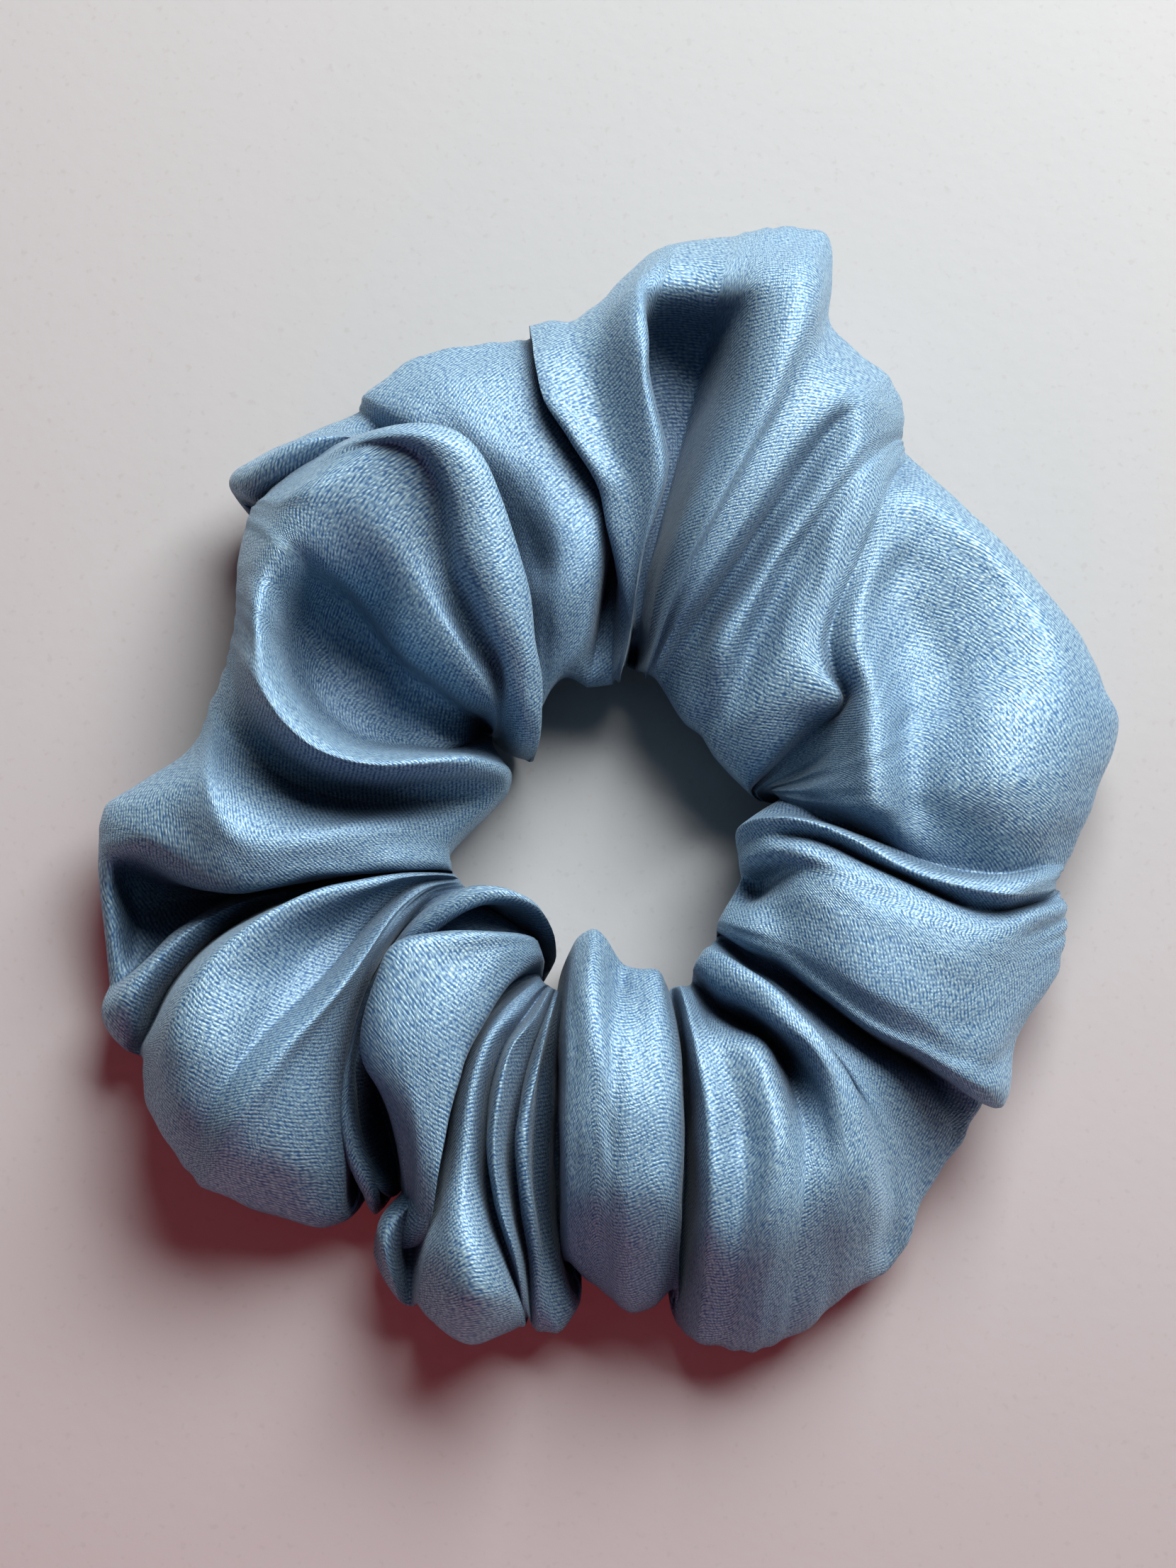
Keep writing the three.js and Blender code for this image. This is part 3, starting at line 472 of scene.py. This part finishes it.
def smooth_loop(points, steps):
    """A closed smooth curve through points, with the same number of samples between each two."""
    directions = unit(np.roll(points, -1, 0) - np.roll(points, 1, 0))
    t = (np.arange(steps) / steps)[:, None]
    out = []
    for k, a in enumerate(points):
        n = (k + 1) % len(points)
        reach = np.linalg.norm(points[n] - a)
        out.append(hermite(a, points[n], directions[k] * reach, directions[n] * reach, t))
    return np.concatenate(out)


def resample(path, count):
    """count points spread along an open path in equal steps of its parameter."""
    at = np.linspace(0, len(path) - 1, count)
    index = np.arange(len(path))
    return np.stack([np.interp(at, index, path[:, k]) for k in range(3)], 1)


def section(kind, over):
    """The closed section of the sleeve at one fold line: over the top, then back underneath."""
    over = np.array(over, float)
    inner, outer = over[0], over[-1]
    lift = LIFT[kind]
    low_outer, middle, low_inner = outer * RIM_TUCK, (outer + inner) * 0.5, inner * HOLE_TUCK
    low_outer[2] = min(lift, outer[2] * 0.5)
    middle[2] = lift * 0.6
    low_inner[2] = HOLE_HEIGHT
    loop = smooth_loop(np.concatenate([over, [low_outer, middle, low_inner]]), STEPS_FINE)
    rim = (len(over) - 1) * STEPS_FINE
    top = resample(loop[:rim + 1], STEPS_OVER + 1)
    under = resample(np.concatenate([loop[rim:], loop[:1]]), STEPS_UNDER + 1)
    return np.concatenate([top[:-1], under[:-1]])


def sleeve_grid():
    """Sheet points, as (step round the ring, step round the section, xyz), in millimetres."""
    sections = np.array([section(kind, over) for kind, _, over in FOLDS])
    directions = unit(np.roll(sections, -1, 0) - np.roll(sections, 1, 0))
    rows = []
    for k, a in enumerate(sections):
        n = (k + 1) % len(sections)
        reach = np.linalg.norm(sections[n] - a, axis=1, keepdims=True)
        start = directions[k] * reach * ROUND[FOLDS[k][0]]
        end = directions[n] * reach * ROUND[FOLDS[n][0]]
        rows += [
            hermite(a, sections[n], start, end, share)
            for share in np.arange(STEPS_BETWEEN) / STEPS_BETWEEN
        ]
    grid = np.array(rows)
    grid[:, :, 2] = np.maximum(grid[:, :, 2], FLOOR_GAP)
    return grid


def ruffle(grid):
    """Small uneven waves across the sheet, and puckers along the outer seam."""
    u, v = fabric_uv(grid)
    normals = vertex_normals(grid)
    around = u[-1] / math.tau
    rows = np.arange(grid.shape[1])
    open_air = np.clip(np.minimum(rows, STEPS_OVER - rows) / CALM_ROWS, 0, 1)
    near_seam = np.exp(-((rows - STEPS_OVER) / PUCKER_ROWS) ** 2)
    out = grid.copy()
    for i in range(len(grid)):
        turn = u[i] / around
        spot = Vector((math.cos(turn), math.sin(turn), 0)) * around
        pucker = math.sin(u[i] * PUCKER_TURN + 3 * noise.noise(spot * 0.1))
        pucker *= 0.5 + noise.noise(spot * 0.07)
        for j in rows:
            at = Vector((spot.x, spot.y, v[i, j] * 0.45))
            wave = sum(height * noise.noise(at * closeness) for height, closeness in WAVES)
            rise = wave * open_air[j] + PUCKER_HEIGHT * pucker * near_seam[j]
            out[i, j] += normals[i, j] * rise
    out[:, :, 2] = np.maximum(out[:, :, 2], FLOOR_GAP)
    return out


def fabric_uv(grid):
    """Fabric coordinates in millimetres: along the ring, and round the section."""
    along = np.linalg.norm(np.roll(grid, -1, 0) - grid, axis=2).mean(1)
    u = np.concatenate([[0], np.cumsum(along)])
    round_section = np.linalg.norm(np.roll(grid, -1, 1) - grid, axis=2)
    v = np.concatenate([np.zeros((len(grid), 1)), np.cumsum(round_section, 1)], 1)
    return u, np.concatenate([v, v[:1]])


def vertex_normals(grid):
    """Smooth normals of a grid closed both ways, pointing out of the sleeve."""
    right, down = np.roll(grid, -1, 0) - grid, np.roll(grid, -1, 1) - grid
    face = np.cross(right, down)
    total = face + np.roll(face, 1, 0)
    return unit(total + np.roll(total, 1, 1))


# ---------------------------------------------------------------- mesh and binding helpers
def strip_mesh(name, rows, uvs, normals=None):
    """A tube of quads over closed rows of points, in millimetres."""
    count, nv = rows.shape[:2]
    faces, corners = [], []
    for i in range(count - 1):
        for j in range(nv):
            k = (j + 1) % nv
            faces.append((i * nv + j, (i + 1) * nv + j, (i + 1) * nv + k, i * nv + k))
            corners += [uvs[i, j], uvs[i + 1, j], uvs[i + 1, j + 1], uvs[i, j + 1]]
    mesh = bpy.data.meshes.new(name)
    mesh.from_pydata((rows.reshape(-1, 3) * MM + HOLE).tolist(), [], faces)
    mesh.uv_layers.new(name="fabric").data.foreach_set("uv", np.array(corners).ravel())
    mesh.shade_smooth()
    if normals is not None:
        mesh.normals_split_custom_set_from_vertices(normals.reshape(-1, 3).tolist())
    obj = bpy.data.objects.new(name, mesh)
    bpy.context.scene.collection.objects.link(obj)
    return obj


def dress(piece, material):
    piece.data.materials.append(material)
    return piece


def bend(piece, a, b):
    """Bake the piece's placement into its mesh; a and b are not used."""
    a, b = f"gore_{a}", f"gore_{b}"
    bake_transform(piece)


# ---------------------------------------------------------------- the materials
# Colours are linear red, green, blue and alpha; lengths in fabric coordinates are millimetres.
SATIN_DARK, SATIN_LIGHT = (0.048, 0.16, 0.37, 1), (0.62, 0.86, 0.91, 1)
SATIN_CLOUD, SATIN_SHEEN = (0.16, 0.34, 0.56, 1), (0.66, 0.82, 0.93, 1)
# painted shade for the bottom of the folds, a deep navy
SATIN_FOLD_SHADE = (0.008, 0.028, 0.08, 1)
LINT = (0.75, 0.80, 0.85, 1)
TWILL_TURN, TWILL_PITCH = 55.0, 0.40
YARN_TURN, YARN_PITCH = -13.0, 0.36
FOLD_DEPTH = 0.014  # metres: how far the painted fold shade looks for nearby layers
ELASTIC_DARK, ELASTIC_LIGHT = (0.46, 0.44, 0.40, 1), (0.74, 0.72, 0.67, 1)
THREAD_DARK, THREAD_LIGHT = (0.09, 0.17, 0.29, 1), (0.19, 0.32, 0.48, 1)
# the front colour of the floor carries painted pinkish light
FLOOR_BACK, FLOOR_FRONT_PINK_LIGHT = (0.475, 0.475, 0.468, 1), (0.47, 0.428, 0.428, 1)
FLOOR_SPECK = (0.40, 0.38, 0.37, 1)
BACKDROP, BLACK = (0.56, 0.555, 0.55, 1), (0, 0, 0, 1)
FILL = (0.95, 0.9, 1.0, 1)


class Graph:
    """Short ways to add shader nodes to a material or to the world."""

    def __init__(self, owner, shader="Principled BSDF"):
        owner.use_nodes = True
        self.owner = owner
        self.tree = owner.node_tree
        self.shader = self.tree.nodes[shader]

    def set(self, node, **inputs):
        """Set or link inputs by name, with _ for a space, or by place, as i0 or i1."""
        for key, value in inputs.items():
            by_place = key[0] == "i" and key[1:].isdigit()
            socket = node.inputs[int(key[1:]) if by_place else key.replace("_", " ")]
            if isinstance(value, bpy.types.NodeSocket):
                self.tree.links.new(value, socket)
            else:
                socket.default_value = value
        return node

    def add(self, kind, inputs=None, **properties):
        node = self.tree.nodes.new("ShaderNode" + kind)
        for key, value in properties.items():
            setattr(node, key, value)
        return self.set(node, **(inputs or {}))

    def math(self, operation, a, b=0.0):
        return self.add("Math", {"i0": a, "i1": b}, operation=operation).outputs[0]

    def ramp(self, value, low, high, start=0.0, end=1.0):
        inputs = {"Value": value, "From Min": low, "From Max": high, "To Min": start, "To Max": end}
        return self.add("MapRange", inputs).outputs[0]

    def mix(self, factor, a, b):
        inputs = {"i0": factor, "i6": a, "i7": b}
        return self.add("Mix", inputs, data_type="RGBA").outputs[2]

    def turn(self, vector, degrees):
        inputs = {"Vector": vector, "Rotation": (0, 0, math.radians(degrees))}
        return self.add("Mapping", inputs).outputs[0]

    def bands(self, vector, degrees, pitch):
        """Fine parallel lines, pitch apart, at an angle to the first axis of vector."""
        inputs = {"Vector": self.turn(vector, degrees), "Scale": math.tau / 20 / pitch}
        return self.add("TexWave", inputs, wave_type="BANDS", bands_direction="X").outputs["Fac"]

    def noise(self, vector, scale, detail=2.0, stretch=(1, 1, 1)):
        scaled = self.add("Mapping", {"Vector": vector, "Scale": stretch})
        inputs = {"Vector": scaled.outputs[0], "Scale": scale, "Detail": detail}
        return self.add("TexNoise", inputs).outputs["Fac"]

    def bump(self, height, strength, distance):
        inputs = {"Strength": strength, "Distance": distance, "Height": height}
        return self.add("Bump", inputs).outputs[0]


def satin_material():
    """Light blue satin: fine diagonal twill, brushed sheen, painted fold shade, a few dusty specks.
    """
    g = Graph(bpy.data.materials.new("satin"))
    uv = g.add("TexCoord").outputs["UV"]
    place = g.add("TexCoord").outputs["Object"]
    wander = g.ramp(g.noise(uv, 0.3), 0, 1, -0.6, 0.6)
    drift = g.add("CombineXYZ", {"X": wander, "Y": wander}).outputs[0]
    warped = g.add("VectorMath", {"i0": uv, "i1": drift}).outputs[0]
    twill = g.bands(warped, TWILL_TURN, TWILL_PITCH)
    yarn = g.bands(warped, YARN_TURN, YARN_PITCH)
    slub = g.noise(uv, 2.2, 3.0, (1.0, 1.8, 1))
    grain = g.noise(g.turn(warped, TWILL_TURN), 4.2, 1.5, (1.0, 0.5, 1))
    grain = g.ramp(grain, 0.38, 0.62)
    # the weft shows as dots along the twill
    dots = g.math("MULTIPLY", twill, g.ramp(yarn, 0, 1, 0.35, 1.0))
    weave = g.math("ADD", g.math("MULTIPLY", dots, 0.55), g.math("MULTIPLY", grain, 0.42))
    sparkle = g.math("ADD", weave, g.math("MULTIPLY", slub, 0.5))
    base = g.mix(g.ramp(sparkle, 0.32, 1.08), SATIN_DARK, SATIN_LIGHT)
    cloud = g.noise(place, 60.0, 3.0)
    base = g.mix(g.ramp(cloud, 0.4, 0.8, 0.0, 0.3), base, SATIN_CLOUD)
    # painted shade: the colour darkens where nearby layers hide the sky, because light that reaches
    # the bottom of a fold has lost most of its strength between the layers
    open_sky = g.add("AmbientOcclusion", {"Distance": FOLD_DEPTH}, samples=2).outputs["AO"]
    base = g.mix(g.ramp(open_sky, 0.24, 0.84, 0.94, 0.0), base, SATIN_FOLD_SHADE)
    lint = g.add("TexVoronoi", {"Vector": place, "Scale": 110.0})
    chosen = g.math("GREATER_THAN", lint.outputs["Color"], 0.72)
    speck = g.math("MULTIPLY", g.ramp(lint.outputs["Distance"], 0.03, 0.015), chosen)
    g.set(
        g.shader, Base_Color=g.mix(speck, base, LINT), Metallic=0.3,
        Roughness=g.ramp(sparkle, 0.35, 1.15, 0.60, 0.50), Normal=g.bump(sparkle, 0.8, 0.00008),
        Anisotropic=0.3, Tangent=g.add("Tangent", direction_type="UV_MAP").outputs[0],
        Sheen_Weight=0.3, Sheen_Roughness=0.4, Sheen_Tint=SATIN_SHEEN,
    )
    return g.owner


def elastic_material():
    """Off-white braided elastic: ribs along the band and a fine chevron braid."""
    g = Graph(bpy.data.materials.new("elastic"))
    uv = g.add("TexCoord").outputs["UV"]
    ribs = g.bands(uv, 90, 0.9)
    braid = g.math("MULTIPLY", g.bands(uv, 55, 0.7), g.bands(uv, -55, 0.7))
    height = g.math("ADD", g.math("MULTIPLY", ribs, 0.6), g.math("MULTIPLY", braid, 0.5))
    base = g.mix(g.ramp(height, 0.0, 0.9), ELASTIC_DARK, ELASTIC_LIGHT)
    normal = g.bump(height, 0.7, 0.0002)
    g.set(g.shader, Base_Color=base, Roughness=0.85, Normal=normal, Sheen_Weight=0.2)
    return g.owner


def thread_material():
    """Spun sewing thread, a shade darker than the satin: two plies twisted together."""
    g = Graph(bpy.data.materials.new("thread"))
    uv = g.add("TexCoord").outputs["UV"]
    plies = g.bands(uv, 40, 0.45)
    fluff = g.ramp(g.noise(uv, 6.0, 3.0), 0, 1, 0.6, 0.8)
    base = g.mix(plies, THREAD_DARK, THREAD_LIGHT)
    g.set(g.shader, Base_Color=base, Roughness=fluff, Normal=g.bump(plies, 0.6, 0.00008))
    return g.owner


def floor_material():
    """A pale matt table top, with painted pinkish, dimmer light towards the front."""
    g = Graph(bpy.data.materials.new("floor"))
    place = g.add("TexCoord").outputs["Object"]
    speck = g.ramp(g.noise(place, 900.0, 2.0), 0.62, 0.72)
    across = g.add("SeparateXYZ", {"Vector": place}).outputs["Y"]
    # painted light: towards the front the floor turns pinker and a little dimmer, like the reddish
    # light from the room
    lit_tone = g.mix(g.ramp(across, -0.01, -0.12), FLOOR_BACK, FLOOR_FRONT_PINK_LIGHT)
    colour = g.mix(g.math("MULTIPLY", speck, 0.4), lit_tone, FLOOR_SPECK)
    # past the light, the camera sees the pale tone of the backdrop, which lights nothing
    away = g.add("VectorMath", {"i0": place}, operation="LENGTH").outputs["Value"]
    fade = g.ramp(away, 0.13, 0.36)
    seen = g.math("MULTIPLY", fade, g.add("LightPath").outputs["Is Camera Ray"])
    g.set(
        g.shader, Base_Color=g.mix(fade, colour, BLACK), Roughness=0.55,
        Normal=g.bump(g.noise(place, 500.0, 3.0), 0.15, 0.0002),
        Specular_IOR_Level=g.ramp(fade, 0, 1, 0.5, 0),
        Emission_Color=BACKDROP, Emission_Strength=seen,
    )
    return g.owner


# ---------------------------------------------------------------- the pieces
# The fold line at the middle of each gore, clockwise. Between two of them lies one piece each of
# the satin, the band and the seam thread.
MIDDLES = [
    ("12", "recess"), ("01", "under_ridge"), ("02", "right_40"), ("03", "right_0"),
    ("04", "pleat_middle"), ("05", "nose"), ("06", "upright_tip"), ("07", "under_panel"),
    ("08", "left_lobe_panel"), ("09", "left_crest"), ("10", "bowl_high"), ("11", "tip"),
]
GORE_TURN = math.tau / len(MIDDLES)
ROOT = "08"
CLOSING = "02"  # the gore that the closing seam splits in two

BAND_SECTION = [  # out from the band's middle, up from it
    (0.6, -2.6), (0.6, 2.6), (0.35, 3.0), (-0.35, 3.0), (-0.6, 2.6), (-0.6, -2.6), (-0.35, -3.0),
    (0.35, -3.0),
]
BAND_GIRTH = 14.0
BAND_RADIUS, BAND_MIDDLE, BAND_STEPS = 24.0, 6.8, 40
RIB_HEIGHT, RIBS = 0.04, 240
LAP = 9.0  # degrees to each side of the middle of the root gore
LAP_OUT, LAP_STEPS = 1.3, 24  # the lapped end lies that far out from the band

THREAD_RADIUS, THREAD_SIDES = 0.18, 6
THREAD_INSIDE = 0.9  # below the satin's face
WAVER, WAVER_TURN = 0.25, 2.4
ZIGZAG_OUT, ZIGZAG_REACH, ZIGZAG_POINTS, ZIGZAG_MARGIN = 2.05, 1.9, 49, 1.5


def fold_column(name):
    """The sheet's column at the fold line with this name."""
    return [fold for _, fold, _ in FOLDS].index(name) * STEPS_BETWEEN


def gaps():
    """Each gap between gores: its two bodies, its node's label, and its columns of the sheet."""
    for at, (label, fold) in enumerate(MIDDLES):
        after, next_fold = MIDDLES[(at + 1) % len(MIDDLES)]
        last = fold_column(next_fold) or len(FOLDS) * STEPS_BETWEEN
        from_label = label + "b" if label == CLOSING else label
        to_label = after + "a" if after == CLOSING else after
        # the gore that hangs further from the root gives the gap its name
        node = to_label if label >= ROOT or label < CLOSING else from_label
        yield from_label, to_label, node, np.arange(fold_column(fold), last + 1)


def gap_nodes(kind, label):
    """The CAD nodes that a gap's piece stands for; the first gap has the root gore's too."""
    first = int(label[:2]) == int(ROOT) + 1
    return [f"{kind}_{label}"] + ([f"{kind}_{ROOT}"] if first else [])


def add_satin(grid, material):
    u, v = fabric_uv(grid)
    normals = vertex_normals(grid)
    for a, b, label, columns in gaps():
        wrapped = columns % len(grid)
        uvs = np.stack([np.repeat(u[columns][:, None], v.shape[1], 1), v[wrapped]], 2)
        piece = strip_mesh(f"satin_{a}_{b}", grid[wrapped], uvs, normals[wrapped])
        dress(piece, material)
        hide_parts(*gap_nodes("sleeve_gore", label))
        bend(piece, a, b)


def gore_direction(label):
    """The direction of a gore's middle from the hole, in radians from the x axis."""
    return math.tau / 4 - GORE_TURN * int(label[:2])


def band_rows(start, turn, radius, steps):
    """The band's section, swept round the ring from a direction through a turn."""
    across, up = np.array(BAND_SECTION).T
    out = []
    for at in np.linspace(0, 1, steps + 1):
        angle = start + turn * at
        r = radius + across + RIB_HEIGHT * math.cos(angle * RIBS)
        out.append(np.stack([r * math.cos(angle), r * math.sin(angle), BAND_MIDDLE + up], 1))
    return np.array(out)


def band_piece(name, rows, material):
    along = np.linspace(0, 1, len(rows)) * np.linalg.norm(np.diff(rows[:, 0], axis=0), axis=1).sum()
    across = np.linspace(0, 1, rows.shape[1] + 1) * BAND_GIRTH
    uvs = np.stack(np.meshgrid(along, across, indexing="ij"), 2)
    return dress(strip_mesh(name, rows, uvs), material)


def add_band(material):
    for a, b, label, _ in gaps():
        rows = band_rows(gore_direction(a), -GORE_TURN, BAND_RADIUS, BAND_STEPS)
        piece = band_piece(f"band_{a}_{b}", rows, material)
        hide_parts(*gap_nodes("elastic_band", label))
        bend(piece, a, b)
    turn = math.radians(LAP)
    rows = band_rows(gore_direction(ROOT) + turn, -2 * turn, BAND_RADIUS + LAP_OUT, LAP_STEPS)
    lap = band_piece("band_lap", rows, material)
    caps = bmesh.new()
    caps.from_mesh(lap.data)
    bmesh.ops.holes_fill(caps, edges=[e for e in caps.edges if e.is_boundary])
    caps.to_mesh(lap.data)
    caps.free()
    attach(lap, f"gore_{ROOT}")


def thread_piece(name, path, material):
    """A round thread along an open path of points, in millimetres."""
    forward = unit(np.gradient(path, axis=0))
    side = unit(np.cross(forward, np.array([0.13, 0.05, 1.0])))
    up = np.cross(side, forward)
    turns = (np.arange(THREAD_SIDES) / THREAD_SIDES * math.tau)[None, :, None]
    ring = np.cos(turns) * side[:, None] + np.sin(turns) * up[:, None]
    rows = path[:, None] + THREAD_RADIUS * ring
    along, across = np.arange(len(rows)) * 0.3, np.arange(THREAD_SIDES + 1) * 0.2
    uvs = np.stack(np.meshgrid(along, across, indexing="ij"), 2)
    return dress(strip_mesh(name, rows, uvs), material)


def add_seam_threads(grid, material):
    """The running stitch inside the outer rim, which wavers across the seam."""
    u, _ = fabric_uv(grid)
    for a, b, label, columns in gaps():
        rows = grid[columns % len(grid)]
        edge = rows[:, STEPS_OVER + 1]
        inward = unit(rows.mean(1) - edge)
        path = edge + inward * (THREAD_INSIDE + WAVER * np.sin(WAVER_TURN * u[columns]))[:, None]
        piece = thread_piece(f"seam_thread_stitch_{a}_{b}", path, material)
        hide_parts(*gap_nodes("seam_thread", label))
        bend(piece, a, b)


def add_closing_thread(grid, material):
    """The thread that joins the sleeve's two ends, round the section at the closing seam."""
    column = fold_column(dict(MIDDLES)[CLOSING])
    ring = (grid[column] - vertex_normals(grid)[column] * THREAD_INSIDE)[3:-3]
    closing = thread_piece("closing_stitch", ring, material)
    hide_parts("closing_seam_thread")
    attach(closing, f"gore_{CLOSING}a")


def add_lap_stitches(material):
    """A zigzag through the band's lapped ends."""
    reach = LAP - ZIGZAG_MARGIN
    turns = gore_direction(ROOT) + np.radians(np.linspace(-reach, reach, ZIGZAG_POINTS))
    swing = np.abs((np.arange(ZIGZAG_POINTS) / 4) % 2 - 1) * 2 - 1
    out = BAND_RADIUS + ZIGZAG_OUT
    height = BAND_MIDDLE + ZIGZAG_REACH * swing
    path = np.stack([out * np.cos(turns), out * np.sin(turns), height], 1)
    zigzag = thread_piece("lap_zigzag", path, material)
    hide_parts("band_lap_stitches")
    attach(zigzag, f"gore_{ROOT}")


# ---------------------------------------------------------------- the setting
CAMERA_TARGET = (-2.2, 3.6, 15)  # millimetres from the middle of the hole
CAMERA_DISTANCE, CAMERA_ELEVATION = 0.4, 80
CAMERA_LENS, CAMERA_SENSOR = 81.4, 36


def point_at(obj, target):
    obj.rotation_mode = "QUATERNION"
    obj.rotation_quaternion = (Vector(target) - obj.location).to_track_quat("-Z", "Y")


def add_floor():
    bpy.ops.mesh.primitive_plane_add(size=3, location=(0, 0, 0))
    floor = bpy.context.object
    floor.name = "floor"
    floor.data.materials.append(floor_material())
    return floor


def add_area(name, location, target, size, power, colour, only=None):
    """A soft rectangular light; only limits it to one object."""
    light = bpy.data.lights.new(name, "AREA")
    light.shape = "RECTANGLE"
    light.size, light.size_y = size
    light.energy = power
    light.color = colour
    obj = bpy.data.objects.new(name, light)
    bpy.context.scene.collection.objects.link(obj)
    obj.location = location
    if only:
        lit = bpy.data.collections.new(f"lit by {name}")
        lit.objects.link(only)
        obj.light_linking.receiver_collection = lit
    point_at(obj, target)


def add_world():
    """A faint light from all round, behind a pale backdrop that only the camera sees."""
    world = bpy.data.worlds.new("world")
    g = Graph(world, "Background")
    seen = g.add("LightPath").outputs["Is Camera Ray"]
    g.set(g.shader, Color=g.mix(seen, FILL, BACKDROP), Strength=g.ramp(seen, 0, 1, 0.02, 1))
    bpy.context.scene.world = world


def add_camera():
    camera = bpy.data.objects.new("camera", bpy.data.cameras.new("camera"))
    bpy.context.scene.collection.objects.link(camera)
    camera.data.lens = CAMERA_LENS
    camera.data.sensor_width = CAMERA_SENSOR
    centre = Vector(HOLE) + Vector(CAMERA_TARGET) * MM
    rise = math.radians(CAMERA_ELEVATION)
    camera.location = centre + Vector((0, -math.cos(rise), math.sin(rise))) * CAMERA_DISTANCE
    point_at(camera, centre)
    bpy.context.scene.camera = camera


grid = ruffle(sleeve_grid())
add_satin(grid, satin_material())
add_band(elastic_material())
thread = thread_material()
add_seam_threads(grid, thread)
add_closing_thread(grid, thread)
add_lap_stitches(thread)

floor = add_floor()
add_area("window", (0.235, 0.445, 0.49), (0, 0, 0.01), (0.55, 0.4), 8.9, (0.97, 0.985, 1.0))
add_area("room", (-0.1, -0.7, 0.16), (0, 0, 0.01), (0.9, 0.3), 0.3, (0.95, 0.42, 0.85))
add_area("red wall", (-0.2, -0.6, 0.12), (0, 0, 0), (0.6, 0.2), 3.0, (1.0, 0.12, 0.13), only=floor)
add_world()
bpy.context.scene.view_settings.view_transform = "Standard"
add_camera()
